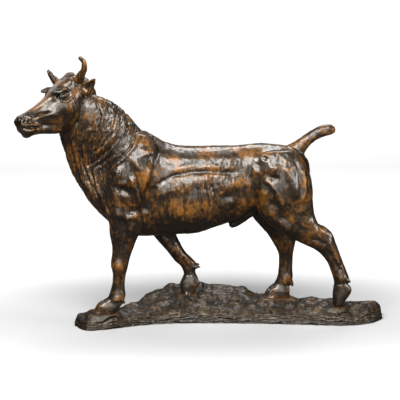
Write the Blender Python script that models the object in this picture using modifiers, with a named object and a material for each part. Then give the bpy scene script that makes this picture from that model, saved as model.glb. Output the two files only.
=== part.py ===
# A cast bronze bull striding over a naturalistic ground base: the figure and the base, in metres, +Z up.
# The bull faces -X. The origin lies in the base's flat underside, below the middle of the barrel.
import math

import bmesh
import bpy
import numpy as np
from mathutils import Matrix, Vector, noise

# Driving dimensions
FIGURE_HEIGHT = 0.3755      # from the lowest sole to the tip of the near horn
BASE_LENGTH = 0.463
BASE_DEPTH = 0.148
BASE_THICKNESS = 0.0215     # underside to the ground under the near fore hoof
RIM_FLARE = 0.004           # how far the foot of the rim stands out past its top
SEAT_GAP = 0.0003           # between the soles and the ground
BULL_TRIANGLES = 7000
BASE_TRIANGLES = 2200

# The figure is drawn on a grid of squares, FIGURE_SQUARES of them from the lowest sole to the horn tip
FIGURE_SQUARES = 250.3
LOWEST_SOLE = 19.0          # height of the lowest sole on that grid
SQUARE = FIGURE_HEIGHT / FIGURE_SQUARES
STANCE = 19.0               # squares from the middle plane to the middle of each hoof
FORM_VOXEL = 2.0 * SQUARE   # the big masses are fused at this fineness
SKIN_VOXEL = 1.0 * SQUARE   # and the whole figure at this one
SLAB_VOXEL = 1.4 * SQUARE   # the base's slab is made at this one
RIM_ROUGHNESS = 1.0 * SQUARE
RIM_GRAIN = 90.0            # lumps of the rim to a metre
SECTION_SIDES = 28
LOFT_STEPS = 6              # rings between two drawn sections


def on_grid(point):
    """A point of the drawing grid as a place in metres."""
    x, y, z = point
    return Vector((x * SQUARE, y * SQUARE, BASE_THICKNESS + (z - LOWEST_SOLE) * SQUARE))


def head_frame():
    """The head's own grid: its origin on the poll, the muzzle towards its -X, turned and bowed."""
    turn = Matrix.Rotation(math.radians(33.0), 4, "Z")
    bow = Matrix.Rotation(math.radians(-32.0), 4, "Y")
    return Matrix.Translation((-152.0, -8.0, 252.5)) @ turn @ bow


BODY = Matrix.Identity(4)
HEAD = head_frame()


def between(before, start, end, after, t):
    """Catmull-Rom curve from start to end, at t from 0 to 1."""
    return 0.5 * (2.0 * start + (end - before) * t
                  + (2.0 * before - 5.0 * start + 4.0 * end - after) * t * t
                  + (3.0 * start - before - 3.0 * end + after) * t ** 3)


def smoothed_rows(rows, steps):
    """Rows of numbers, with steps more between each two along a smooth curve."""
    rows = [np.array(row, dtype=float) for row in rows]
    padded = [2.0 * rows[0] - rows[1]] + rows + [2.0 * rows[-1] - rows[-2]]
    result = []
    for i in range(1, len(padded) - 2):
        for step in range(steps):
            result.append(between(*padded[i - 1:i + 3], step / steps))
    result.append(rows[-1])
    return result


def rounded(value, squareness):
    return math.copysign(abs(value) ** (2.0 / squareness), value)


def section_ring(row, squareness):
    """Ring about the line from a front (or upper) point to a back (or lower) one."""
    front_x, front_z, back_x, back_z, y, half_width, fullness = row
    ring = []
    for i in range(SECTION_SIDES):
        angle = 2.0 * math.pi * i / SECTION_SIDES
        share = 0.5 - 0.5 * rounded(math.cos(angle), squareness)
        across = rounded(math.sin(angle), squareness) * half_width * (1.0 + fullness * (2.0 * share - 1.0))
        ring.append((front_x + (back_x - front_x) * share, y + across, front_z + (back_z - front_z) * share))
    return ring


def loft(sections, squareness=2.2, frame=BODY, fullness=0.0):
    """Closed skin through sections of (front point, back point, y, half width, own fullness or none)."""
    rows = [(*s[0], *s[1], s[2], s[3], s[4] if len(s) > 4 else fullness) for s in sections]
    rings = [section_ring(row, squareness) for row in smoothed_rows(rows, LOFT_STEPS)]
    bm = bmesh.new()
    loops = [[bm.verts.new(on_grid(frame @ Vector(p))) for p in ring] for ring in rings]
    for lower, upper in zip(loops, loops[1:]):
        for i in range(SECTION_SIDES):
            j = (i + 1) % SECTION_SIDES
            bm.faces.new((lower[i], lower[j], upper[j], upper[i]))
    bm.faces.new(reversed(loops[0]))
    bm.faces.new(loops[-1])
    bmesh.ops.recalc_face_normals(bm, faces=bm.faces)
    return form_of(bm)


def form_of(bm):
    mesh = bpy.data.meshes.new("form")
    bm.to_mesh(mesh)
    bm.free()
    form = bpy.data.objects.new("form", mesh)
    bpy.context.scene.collection.objects.link(form)
    return form


def ball(centre, radii, frame=BODY, turn=0.0):
    """An egg of the given half sizes, leaned by turn degrees in the side view."""
    bm = bmesh.new()
    bmesh.ops.create_uvsphere(bm, u_segments=24, v_segments=14, radius=1.0)
    place = frame @ Matrix.Translation(centre) @ Matrix.Rotation(math.radians(turn), 4, "Y")
    place = place @ Matrix.Diagonal((*radii, 1.0))
    for vert in bm.verts:
        vert.co = on_grid(place @ vert.co)
    bmesh.ops.recalc_face_normals(bm, faces=bm.faces)
    return form_of(bm)


def closed_mesh(piece):
    """A curve object's closed mesh, its curve taken away."""
    bpy.context.view_layer.update()
    mesh = bpy.data.meshes.new_from_object(piece.evaluated_get(bpy.context.evaluated_depsgraph_get()))
    bpy.data.objects.remove(piece)
    bm = bmesh.new()
    bm.from_mesh(mesh)
    bpy.data.meshes.remove(mesh)
    bmesh.ops.remove_doubles(bm, verts=bm.verts, dist=0.00001)
    bmesh.ops.recalc_face_normals(bm, faces=bm.faces)
    return form_of(bm)


def tube(points, radii, frame=BODY):
    """A round bar through points, thick and thin as radii says, with closed ends."""
    curve = bpy.data.curves.new("bar", "CURVE")
    curve.dimensions = "3D"
    curve.bevel_depth = SQUARE
    curve.bevel_resolution = 4
    curve.use_fill_caps = True
    rows = smoothed_rows([(*p, r) for p, r in zip(points, radii)], LOFT_STEPS)
    spline = curve.splines.new("POLY")
    spline.points.add(len(rows) - 1)
    for point, (x, y, z, radius) in zip(spline.points, rows):
        point.co = (*on_grid(frame @ Vector((x, y, z))), 1.0)
        point.radius = radius
    bar = bpy.data.objects.new("bar", curve)
    bpy.context.scene.collection.objects.link(bar)
    return closed_mesh(bar)


def joined(forms):
    """The forms' shells in one object, still passing through each other."""
    bm = bmesh.new()
    for form in forms:
        bm.from_mesh(form.data)
        bpy.data.objects.remove(form)
    return form_of(bm)


def worked(form, *modifiers):
    """The form with modifiers of (type, settings) taken into its mesh."""
    for kind, settings in modifiers:
        modifier = form.modifiers.new(kind.title(), kind)
        for name, value in settings.items():
            setattr(modifier, name, value)
    bpy.context.view_layer.update()
    mesh = bpy.data.meshes.new_from_object(form.evaluated_get(bpy.context.evaluated_depsgraph_get()))
    form.modifiers.clear()
    form.data = mesh
    return form


def fused(forms, voxel, smoothing):
    remesh = ("REMESH", {"mode": "VOXEL", "voxel_size": voxel, "adaptivity": 0.0})
    return worked(joined(forms), remesh, ("SMOOTH", {"factor": 0.5, "iterations": smoothing}))


def torso():
    """The barrel as ribs of (x, top, bottom, half width), from the buttocks to the breast."""
    ribs = [(82, 164, 122, 10), (77, 171, 116, 15), (72, 175, 113, 18), (62, 179.5, 111, 22.5),
            (47, 182, 112, 25), (34, 183, 114, 25.5), (22, 182.5, 115.5, 24), (9, 181, 106, 26),
            (-3, 181, 102.5, 28.5), (-18, 181, 97.5, 31), (-33, 180.8, 93, 32.5), (-48, 181.5, 92.5, 32.5),
            (-63, 185.5, 91.5, 31), (-78, 194, 91, 29), (-90, 198, 91, 28), (-102, 200, 95, 27.5),
            (-114, 198, 102, 26), (-126, 190, 112, 23), (-138, 178, 126, 17), (-147, 164, 141, 10)]
    return loft([((x, top), (x, bottom), 0.0, half) for x, top, bottom, half in ribs],
                squareness=2.25, fullness=0.10)


def neck():
    """From the poll's back down to the shoulders, thin along the throat."""
    return loft([((-143, 241), (-168, 203), -8.0, 10.5, 0.0), ((-132, 233), (-165.5, 188), -7.0, 13.5, -0.2),
                 ((-119.6, 228), (-162.5, 177), -4.5, 15.5, -0.4),
                 ((-108, 221), (-159, 164), -2.5, 18, -0.45),
                 ((-96, 209), (-153.6, 150.6), -1.0, 20.5, -0.45), ((-87.5, 198), (-146, 138), 0.0, 23, -0.4),
                 ((-78, 187), (-134, 120), 0.0, 25, -0.25)], squareness=2.15)


def shoulders_and_haunches():
    """The four masses that the legs hang from."""
    near_shoulder = [((-109, 194), (-82, 195), -12, 9.5), ((-117, 178), (-71, 180), -16.5, 14.5),
                     ((-122, 160), (-68, 160), -19, 16), ((-123, 143), (-74, 142), -20, 15),
                     ((-122, 125), (-83, 124), -STANCE, 13.5)]
    far_shoulder = [((-109, 194), (-80, 195), 12, 9.5), ((-114, 178), (-66, 180), 16.5, 14.5),
                    ((-112, 158), (-60, 160), 19, 16), ((-104, 138), (-58, 140), 20, 15),
                    ((-94, 120), (-58, 122), STANCE, 13.5)]
    near_haunch = [((28, 176), (66, 178), -11, 12), ((25, 162), (75, 165), -15, 15),
                   ((25, 142), (82, 146), -17.5, 16), ((27, 122), (83, 126), -18, 15)]
    far_haunch = [((28, 176), (66, 178), 11, 12), ((27, 160), (76, 163), 15, 15),
                  ((27, 138), (80, 142), 17.5, 16), ((26, 118), (80, 122), 18, 15)]
    return [loft(mass, squareness=2.3) for mass in (near_shoulder, far_shoulder, near_haunch, far_haunch)]


# Each leg runs down from inside its shoulder or haunch: (front point, back point, y, half width)
NEAR_FORE = [((-122, 137), (-85, 134), -18, 13), ((-122, 120), (-85, 114), -STANCE, 12.5),
             ((-119.5, 108), (-86, 102), -STANCE, 11), ((-118.5, 96), (-90, 95), -STANCE, 9.8),
             ((-116.5, 84), (-94, 86), -STANCE, 8.4), ((-116.8, 75), (-98, 75), -STANCE, 7.6),
             ((-118, 67), (-101, 64), -STANCE, 8.2), ((-116, 55), (-103.6, 53), -STANCE, 6.2),
             ((-117.3, 44), (-104.4, 44), -STANCE, 5.8), ((-120.6, 34), (-103.8, 34), -STANCE, 7.0),
             ((-124.5, 28), (-108, 26), -STANCE, 7.0)]
FAR_FORE = [((-92, 122), (-58, 124), STANCE, 13), ((-82, 101), (-52.4, 104), STANCE, 11.5),
            ((-73.2, 86.3), (-50.4, 88.2), STANCE, 9.8), ((-65.4, 77), (-47, 80), STANCE, 8.4),
            ((-58.8, 69.2), (-42, 71), STANCE, 8.2), ((-52.8, 61), (-35, 63.5), STANCE, 7.2),
            ((-46.4, 55), (-30, 58), STANCE, 6.6), ((-43.2, 48), (-31.2, 50.5), STANCE, 6.0),
            ((-43.6, 42), (-29.8, 44), STANCE, 6.6), ((-45, 36), (-29, 38), STANCE, 7.0)]
NEAR_HIND = [((25, 142), (82, 146), -16, 15), ((27, 121), (83, 126), -18, 14),
             ((33, 110), (84.5, 115), -18, 12.5), ((45, 99.5), (87, 107), -STANCE, 11),
             ((56, 92.5), (89.5, 103.5), -STANCE, 9.6), ((67, 86.5), (96, 100.5), -STANCE, 8.6),
             ((79, 81), (102.5, 94.5), -STANCE, 7.8), ((88, 76), (106, 86), -STANCE, 7.2),
             ((95, 69), (110, 76), -STANCE, 6.4), ((99.5, 62), (113.3, 67), -STANCE, 6.0),
             ((102.6, 54), (118.5, 54.5), -STANCE, 6.4), ((105.0, 47), (120.6, 48), -STANCE, 7.0),
             ((106.0, 42), (119.6, 43), -STANCE, 6.4), ((105.8, 36), (120.6, 37), -STANCE, 6.8)]
FAR_HIND = [((26, 138), (80, 138), 16, 15), ((26.5, 109), (80, 112), 18, 14),
            ((34, 97.5), (79.5, 99), STANCE, 11), ((43, 87.5), (77, 90), STANCE, 9.4),
            ((49, 78), (73, 80), STANCE, 8.2), ((53.5, 70), (71, 70), STANCE, 7.0),
            ((55.2, 63.5), (70, 62.5), STANCE, 6.2), ((55.4, 52), (69.6, 51.7), STANCE, 6.0),
            ((54.0, 41.5), (70.0, 41.5), STANCE, 7.2), ((50.5, 34), (66.8, 32), STANCE, 6.8)]

# Each hoof is two claws: the coronet, the middle and the sole, as pairs of front and back points
HOOF_HALF_WIDTH = 8.6
HOOVES = [
    {"y": -STANCE, "coronet": ((-121.5, 32), (-106.0, 28.5)), "middle": ((-130.5, 26.5), (-109.5, 24)),
     "sole": ((-135.5, 19), (-115, 19))},
    {"y": STANCE, "coronet": ((-42.8, 45.5), (-30.4, 46)), "middle": ((-46.6, 36), (-27.4, 37.5)),
     "sole": ((-45.6, 27), (-34, 27))},
    {"y": -STANCE, "coronet": ((106.3, 41.5), (119.4, 42.5)), "middle": ((105.3, 32), (122.4, 35)),
     "sole": ((105.8, 20.6), (112.5, 20.6))},
    {"y": STANCE, "coronet": ((53, 35.5), (66.5, 32)), "middle": ((45.5, 29.5), (66.6, 27)),
     "sole": ((40, 21), (66, 21))},
]
DEWCLAWS = [    # (root x, z), (tip x, z), y of the hoof
    ((-109, 32.5), (-104.2, 28.0), -STANCE), ((-34, 54.5), (-26.0, 55.2), STANCE),
    ((115, 47.5), (122.0, 44.8), -STANCE), ((66, 39.5), (70.2, 32.5), STANCE)]


def hoof_claws(hoof):
    """Two claws side by side, parted by the cleft, each a skin from the coronet to below the sole."""
    claws = []
    depth = 2.0
    (toe_x, sole_z), (heel_x, _) = hoof["sole"]
    for side in (-1.0, 1.0):
        y = hoof["y"] + side * HOOF_HALF_WIDTH * 0.52
        half = HOOF_HALF_WIDTH * 0.47
        claws.append(loft([(*hoof["coronet"], y - side * 1.2, half - 0.6), (*hoof["middle"], y, half),
                           (*hoof["sole"], y + side * 0.2, half + 0.2),
                           ((toe_x, sole_z - depth), (heel_x, sole_z - depth), y + side * 0.2, half)],
                          squareness=2.6))
    return claws


def dewclaws():
    """The pair of small horny spikes behind each fetlock."""
    spikes = []
    for (root_x, root_z), (tip_x, tip_z), y in DEWCLAWS:
        for side in (-1.0, 1.0):
            root = (root_x, y + side * 3.6, root_z)
            middle = ((root_x + tip_x) / 2, y + side * 4.2, (root_z + tip_z) / 2)
            tip = (tip_x, y + side * 4.4, tip_z + side)
            spikes.append(tube([root, middle, tip], [2.8, 2.3, 1.0]))
    return spikes


def tail():
    """The docked tail, arched up and back to its blunt end."""
    return loft([((60, 181), (71, 168), 0, 6.5), ((66, 183.5), (76, 170.5), 0, 6.2),
                 ((72.6, 188), (79.5, 176.5), 0, 5.6), ((79.3, 192.5), (85, 182.6), 0, 5.2),
                 ((85.9, 196.5), (91.5, 186.8), 0, 5.0), ((94.6, 200.4), (98.7, 189.3), 0, 5.2),
                 ((101.7, 201.4), (103.8, 190.7), 0, 5.0), ((107.6, 199), (108, 193), 0, 3.0)])


def underline():
    """The sheath along the belly and the purse between the thighs."""
    sheath = tube([(27, 0, 117), (18, 0, 110), (9, 0, 103.8), (4, 0, 100.6), (1.6, 0, 99.0)],
                  [6.0, 5.2, 4.8, 3.9, 1.8])
    return [sheath, ball((63, 0, 113), (8.0, 7.0, 12.0), turn=12.0)]


def head_loft(slices, squareness):
    """A loft on the head's grid. A slice is (distance from the poll, top, bottom, half width, fullness)."""
    sections = [((-a, top), (-a, bottom), 0.0, half, full) for a, top, bottom, half, full in slices]
    return loft(sections, squareness=squareness, frame=HEAD)


def head_parts():
    """The skull and jaws, and the narrower bridge of the nose and forehead that lies on them."""
    skull = [(-9, -9, -30, 9.5, 0.0), (-2, -4.0, -34, 12.5, 0.0), (6, -1.6, -37, 14.5, -0.05),
             (14, -1.8, -40, 15.8, -0.1), (22, -2.6, -42, 16.2, -0.12), (30, -4.0, -42.4, 15.4, -0.15),
             (39, -5.4, -41, 13.0, -0.15), (48, -5.6, -37, 11.0, -0.12), (56, -5.0, -31.5, 9.8, -0.1),
             (63, -4.2, -26.6, 10.0, -0.05), (70, -3.6, -23.2, 10.4, 0.0), (75, -5.0, -20.0, 9.2, 0.0),
             (77.8, -8.4, -15.6, 5.5, 0.0)]
    bridge = [(-2, -3.6, -10, 9.5, 0.1), (3, -0.4, -9, 10.2, 0.15), (9, 2.0, -8.5, 10.6, 0.18),
              (15, 2.6, -8, 10.6, 0.22), (22, 1.7, -8, 10.0, 0.30), (30, 0.4, -8, 9.2, 0.36),
              (38, -1.4, -9, 7.6, 0.38), (48, -2.2, -9, 6.6, 0.36), (56, -1.9, -9, 6.0, 0.34),
              (63, -1.5, -8.5, 6.0, 0.32), (70, -0.9, -8, 6.2, 0.30), (74.5, -2.6, -8, 5.4, 0.2)]
    return [head_loft(skull, 2.5), head_loft(bridge, 3.4)]


def face_masses():
    """Brows, cheeks, eyeballs, poll hair, lips and chin, both sides of the head alike."""
    masses = [ball((-4.5, 1.5, -0.8), (6.5, 7.5, 4.2), HEAD), ball((-72.5, 0, -19.4), (5.6, 6.5, 3.8), HEAD)]
    for side in (-1.0, 1.0):
        masses += [ball((-28.0, side * 11.6, -4.4), (8.0, 4.6, 3.6), HEAD, turn=16.0),
                   ball((-24.0, side * 9.5, -26.0), (14.0, 6.0, 12.5), HEAD, turn=30.0),
                   ball((-28.0, side * 14.0, -5.6), (4.4, 2.5, 2.7), HEAD, turn=28.0),
                   ball((-71.0, side * 6.8, -6.0), (5.4, 3.6, 3.6), HEAD),
                   ball((-69.0, side * 5.6, -16.4), (7.0, 4.5, 3.0), HEAD, turn=-14.0)]
    return masses


def horns():
    near = tube([(-150, -12, 242.5), (-147.3, -16.5, 247), (-143.8, -20.5, 252), (-141.3, -23.5, 257),
                 (-140.6, -25.5, 261.6), (-141.6, -26, 265.6), (-144.4, -26, 268.2), (-146.6, -26, 268.6)],
                [5.0, 4.8, 3.8, 3.1, 2.7, 2.4, 2.0, 1.3])
    far = tube([(-162, -3, 238.5), (-166.5, 2, 242.6), (-171.2, 5.5, 247), (-174.3, 8, 251.4),
                (-176.6, 10, 255.2)], [5.0, 4.6, 3.5, 2.6, 1.4])
    return [near, far]


def ear(frame):
    """A broad leaf, its cup turned forwards, hanging off the head behind the horn."""
    leaf = [((-147.0, 239.0), (-146.6, 231.4), 2.8, -17.0), ((-145.2, 240.4), (-143.0, 230.8), 2.8, -19.0),
            ((-143.2, 244.2), (-138.2, 232.0), 2.6, -21.5), ((-139.2, 245.4), (-134.4, 235.6), 2.2, -24.0),
            ((-135.6, 247.4), (-131.8, 240.4), 1.9, -26.4), ((-132.6, 249.0), (-130.2, 245.0), 1.4, -28.4),
            ((-130.6, 249.8), (-129.6, 248.2), 0.8, -29.4)]
    return loft([(front, back, y, half) for front, back, half, y in leaf], frame=frame)


def ears():
    other_side = HEAD @ Matrix.Diagonal((1.0, -1.0, 1.0, 1.0)) @ HEAD.inverted()
    return [ear(BODY), ear(other_side)]


# Carving marks on the side view: strokes along paths and oval dabs, all in squares, a height below 0 cuts in
def stroke(height, width, *path, swell=0.0):
    return {"height": height, "width": width, "path": np.array(path, dtype=float), "swell": swell}


def dab(height, middle, half_length, half_width, lean=0.0):
    """An oval mark, its long axis lean degrees up from the x axis."""
    return {"height": height, "middle": np.array(middle, dtype=float),
            "half": np.array((half_length, half_width)), "lean": math.radians(lean)}


NECK_CARVING = [
    stroke(-1.4, 1.6, (-92, 196), (-97, 184), (-106, 174), (-115, 167), (-121, 158), (-122, 147), swell=0.9),
    stroke(-1.2, 1.5, (-104, 187), (-113, 177), (-122, 169), (-131, 162), swell=0.9),
    stroke(-1.1, 1.5, (-109, 192), (-119, 180), (-129, 171), (-139, 164), swell=0.8),
    stroke(-0.9, 1.5, (-114, 197), (-124, 185), (-134, 177), swell=0.7),
    stroke(-1.0, 1.6, (-112, 226), (-106, 214), (-106, 201), (-112, 190), swell=0.7),
    stroke(-1.0, 1.6, (-102, 216), (-99, 204), (-103, 192), swell=0.8),
    stroke(-0.7, 1.6, (-121, 228), (-116, 214), (-118, 200), swell=0.5),
    stroke(-0.7, 1.6, (-130, 227), (-126, 213), (-129, 198), swell=0.5),
    stroke(1.4, 2.4, (-136, 201), (-143, 192), (-154, 183)),
    stroke(-0.9, 1.8, (-155, 186), (-152, 166), (-147, 149), (-137, 134), swell=0.7),
    stroke(-0.9, 1.7, (-146, 186), (-144, 166), (-138, 149), (-129, 133), swell=0.7),
    stroke(-1.0, 1.8, (-136, 160), (-132, 141), (-126, 124), (-121, 114), swell=0.8),
    dab(1.2, (-122, 186), 12.0, 7.0, 60.0),
]
SHOULDER_CARVING = [
    dab(2.2, (-90, 164), 13.0, 4.2, -54.0), dab(2.6, (-110, 157), 9.0, 5.0, 66.0),
    dab(-2.8, (-105, 142), 6.0, 3.6, -28.0), dab(1.4, (-107, 149), 3.2, 2.6, 0.0),
    dab(1.8, (-97, 149), 6.0, 4.0, 70.0), dab(1.6, (-112, 137), 6.0, 3.4, -75.0),
    dab(1.6, (-82, 177), 8.0, 3.6, 27.0), dab(1.5, (-84, 148), 8.0, 3.2, 85.0),
    stroke(1.3, 2.0, (-99, 156), (-92, 140), (-88, 128)),
    stroke(-1.1, 1.8, (-94, 158), (-90, 144), (-86, 130)),
    stroke(-1.8, 3.0, (-71, 176), (-73, 167), (-78, 151), (-84, 139), (-87, 121)),
    stroke(-1.8, 4.0, (-75, 146), (-79, 132), (-84, 118)),
    stroke(1.2, 3.0, (-113, 120), (-104, 115), (-90, 116)), dab(-1.6, (-97, 120), 4.0, 3.4, 0.0),
    dab(2.0, (-111, 124), 8.0, 4.4, -80.0), dab(-1.4, (-103, 128), 7.0, 2.6, -50.0),
]
BARREL_CARVING = [
    stroke(-0.9, 2.2, (-88, 200), (-76, 193), (-62, 185), (-48, 180)),
    stroke(1.0, 5.0, (-70, 170), (-30, 170), (14, 170)),
    stroke(-1.3, 2.4, (-73, 145), (-66, 150), (-57, 154.5), (-40, 158), (-23, 158.5), (-6, 157), (9, 156.5)),
    stroke(0.8, 2.6, (-60, 160), (-40, 163), (-15, 163), (8, 162)),
    stroke(1.3, 5.0, (-74, 135), (-62, 140), (-48, 145)),
    stroke(0.9, 5.0, (-48, 144), (-34, 149), (-20, 151)), dab(1.6, (2, 145), 12.0, 5.0, 0.0),
    dab(-1.7, (-5, 133), 7.0, 4.0, -10.0), dab(1.3, (1, 129), 3.4, 3.0, 0.0),
    dab(1.4, (13, 127), 10.0, 3.6, -74.0), stroke(-0.9, 2.0, (-60, 133), (-63, 120), (-61, 108)),
    stroke(-0.8, 1.8, (-44, 140), (-46, 126), (-45, 112)),
    stroke(-0.9, 1.4, (-32, 144), (-30, 132), (-28, 116)),
    stroke(-0.9, 1.3, (-26, 146), (-23, 134), (-21, 122)),
    stroke(-0.9, 1.3, (-20, 147), (-16, 135), (-14, 124)), stroke(-0.7, 1.4, (-13, 147), (-9, 138)),
]
HAUNCH_CARVING = [
    dab(2.0, (34, 171), 9.5, 5.0, 8.0), dab(-1.7, (34, 170), 3.4, 2.0, 0.0),
    dab(1.8, (24, 158), 4.5, 5.0, 0.0), dab(2.0, (42, 161), 6.0, 4.4, 0.0),
    dab(-1.8, (41, 152), 4.6, 2.8, -20.0), dab(1.9, (31.5, 137), 4.5, 6.0, 0.0),
    stroke(1.8, 3.6, (54, 163), (57, 152), (61, 145), (66, 131)),
    stroke(1.4, 3.0, (33, 150), (38, 146), (43, 141), (47, 134), (50, 127), (53, 118)),
    dab(-1.6, (40, 127), 5.0, 4.0, 0.0),
    stroke(-1.6, 2.6, (19, 165), (20, 154), (21, 147), (25, 133), (29, 119)),
    stroke(1.3, 1.8, (71, 160), (72.5, 150), (73, 139), (70, 128)),
    stroke(-1.5, 2.0, (63, 170), (66, 160), (68, 152), (69, 132)), dab(-1.2, (67, 103), 7.0, 3.6, -35.0),
    stroke(1.0, 3.4, (36, 120), (48, 107), (60, 98)), dab(-1.0, (52, 112), 6.0, 4.0, -40.0),
]
HEAD_CARVING = [
    stroke(-1.5, 0.9, (-34.4, -2.6), (-31.4, -1.2), (-27.6, -1.6), (-24.4, -4.2), (-21.8, -8.4)),
    stroke(-1.2, 0.9, (-34.4, -2.9), (-32.6, -6.0), (-29.4, -8.4), (-25.4, -9.6), (-21.8, -9.2)),
    stroke(1.0, 1.3, (-36.5, -1.4), (-32, 1.0), (-27, 0.8), (-22.6, -2.4), (-19.6, -7.0)),
    stroke(0.6, 1.2, (-34.5, -6.5), (-30.5, -10.6), (-25, -12), (-20.5, -11)),
    stroke(1.1, 2.2, (-62, -9.5), (-54, -11.0), (-47, -14.0), (-40, -18.0)),
    stroke(-1.0, 2.8, (-62, -5.5), (-52, -6.5), (-43, -10)),
    stroke(-0.7, 1.6, (-66, -4.0), (-52, -4.6), (-40, -4.6)),
    stroke(-0.9, 2.2, (-60, -17), (-52, -22.5), (-44, -28)),
    stroke(1.0, 2.4, (-63, -22), (-53, -29), (-43, -35)),
    stroke(-1.5, 2.4, (-13, -17), (-16.6, -25), (-22.4, -33), (-30.5, -39)),
    stroke(-2.6, 1.3, (-78, -9.8), (-73.5, -11.2), (-69, -13.4), (-65.2, -16.8), (-63.8, -18.6)),
    stroke(1.0, 1.1, (-75.5, -7.9), (-71, -9.4), (-66.8, -12.2), (-63, -16.0)),
    dab(1.3, (-72, -15.4), 4.0, 1.8, -20.0),
    stroke(-1.0, 1.2, (-75.5, -17.4), (-70, -18.8), (-65.5, -20.8)),
    stroke(-3.2, 1.5, (-76.2, -4.6), (-74.2, -3.4), (-71.8, -2.8)),
    stroke(0.8, 1.3, (-77, -1.6), (-72.5, -0.2), (-69.4, -2.6), (-70.0, -5.4)),
    dab(1.4, (-26.5, -20.5), 8.0, 6.5, -60.0), dab(0.9, (-58, -9.5), 5.0, 3.0, -15.0),
    stroke(-0.6, 1.2, (-24, -15), (-26, -24), (-30, -32)),
    stroke(-0.5, 1.2, (-19, -12), (-20, -20), (-23, -28)),
]
LEG_CARVING = {
    -STANCE: [
        dab(1.5, (-112, 108), 12.0, 3.4, -84.0),
        stroke(-1.3, 1.8, (-105, 122), (-104, 106), (-102, 94), (-104, 82)),
        dab(1.3, (-97, 104), 9.0, 3.2, 80.0), dab(1.3, (-111, 65), 4.0, 5.0, 0.0),
        dab(1.2, (-113, 32), 4.5, 3.5, 0.0),
        dab(-0.9, (-104, 66), 2.5, 6.0, 0.0), dab(0.9, (112, 50), 4.0, 4.5, 0.0),
        dab(0.9, (60, 37), 4.0, 4.0, 0.0),
        stroke(-0.8, 1.2, (-107.5, 56), (-108.5, 46), (-108, 38)),
        stroke(-0.9, 2.0, (80, 90), (88, 88), (96, 84)),
        stroke(0.9, 2.2, (98, 88), (104, 76), (110, 62)), stroke(-0.7, 1.6, (97, 78), (105, 66), (111, 56)),
        dab(1.0, (112, 42), 4.0, 5.0, 0.0),
    ],
    STANCE: [
        stroke(-0.9, 2.2, (-74, 112), (-68, 96), (-60, 84)), dab(1.0, (-58, 77), 8.0, 3.4, -45.0),
        stroke(-0.6, 1.5, (-45, 64), (-38, 54)), stroke(-0.9, 2.2, (50, 104), (60, 92), (66, 80)),
        stroke(-0.6, 1.5, (64, 74), (64.5, 60), (64, 46)),
    ],
}


def smooth_step(value):
    value = np.clip(value, 0.0, 1.0)
    return value * value * (3.0 - 2.0 * value)


def dab_height(points, mark):
    """How far a dab moves each side-view point."""
    offset = points - mark["middle"]
    along = offset @ (math.cos(mark["lean"]), math.sin(mark["lean"]))
    across = offset @ (-math.sin(mark["lean"]), math.cos(mark["lean"]))
    return mark["height"] * np.exp(-(along / mark["half"][0]) ** 2 - (across / mark["half"][1]) ** 2)


def stroke_height(points, mark):
    """How far a stroke moves each side-view point: full along the path, fading at its ends and sides."""
    path = mark["path"]
    nearest = np.full(len(points), np.inf)
    signed = np.zeros(len(points))
    along = np.zeros(len(points))
    legs = len(path) - 1
    for i in range(legs):
        run = path[i + 1] - path[i]
        offset = points - path[i]
        t = np.clip(offset @ run / (run @ run), 0.0, 1.0)
        apart = offset - t[:, None] * run
        distance = np.linalg.norm(apart, axis=1)
        side = np.sign(run[0] * apart[:, 1] - run[1] * apart[:, 0])
        closer = distance < nearest
        nearest = np.where(closer, distance, nearest)
        signed = np.where(closer, distance * side, signed)
        along = np.where(closer, (i + t) / legs, along)
    fade = smooth_step(np.minimum(along, 1.0 - along) * 5.0 + 0.25)
    width = mark["width"]
    height = mark["height"] * np.exp(-(nearest / width) ** 2)
    height += mark["swell"] * np.exp(-((signed - 1.9 * width) / (1.3 * width)) ** 2)
    return height * fade


def mesh_arrays(mesh):
    places = np.empty(len(mesh.vertices) * 3)
    normals = np.empty(len(mesh.vertices) * 3)
    mesh.vertices.foreach_get("co", places)
    mesh.vertices.foreach_get("normal", normals)
    return places.reshape(-1, 3), normals.reshape(-1, 3)


def grid_places(places, frame=BODY):
    """Places in metres as points of the drawing grid, or of the head's own."""
    points = places / SQUARE
    points[:, 2] += LOWEST_SOLE - BASE_THICKNESS / SQUARE
    inverse = np.array(frame.inverted())
    return points @ inverse[:3, :3].T + inverse[:3, 3]


def carve(form, marks, region, frame=BODY):
    """Moves the skin along its normals under the marks, on both flanks alike."""
    places, normals = mesh_arrays(form.data)
    points = grid_places(places, frame)
    facing = np.abs(normals @ np.array(frame.inverted())[:3, :3].T[:, 1])
    weight = smooth_step((facing - 0.1) / 0.4) * region(points)
    touched = weight > 0.0
    flat = points[touched][:, (0, 2)]
    height = np.zeros(len(points))
    for mark in marks:
        height[touched] += dab_height(flat, mark) if "middle" in mark else stroke_height(flat, mark)
    places += normals * (height * weight * SQUARE)[:, None]
    form.data.vertices.foreach_set("co", places.ravel())
    form.data.update()


def head_region(points):
    """The head, for points on its own grid."""
    x, y, z = points.T
    return smooth_step((-8.0 - x) / 6.0) * smooth_step((z + 46.0) / 4.0) * (np.abs(y) < 22.0)


def trunk_region(points):
    """Everything but the head and the legs below the elbow and stifle."""
    inverse = np.array(HEAD.inverted())
    on_head = head_region(points @ inverse[:3, :3].T + inverse[:3, 3])
    return (1.0 - on_head) * smooth_step((points[:, 2] - 92.0) / 10.0)


def leg_region(middle):
    """The legs of one side, which reach no further than the middle plane."""
    def region(points):
        own_side = np.abs(points[:, 1] - middle) < STANCE - 2.0
        return own_side * smooth_step((128.0 - points[:, 2]) / 12.0)
    return region


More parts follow.
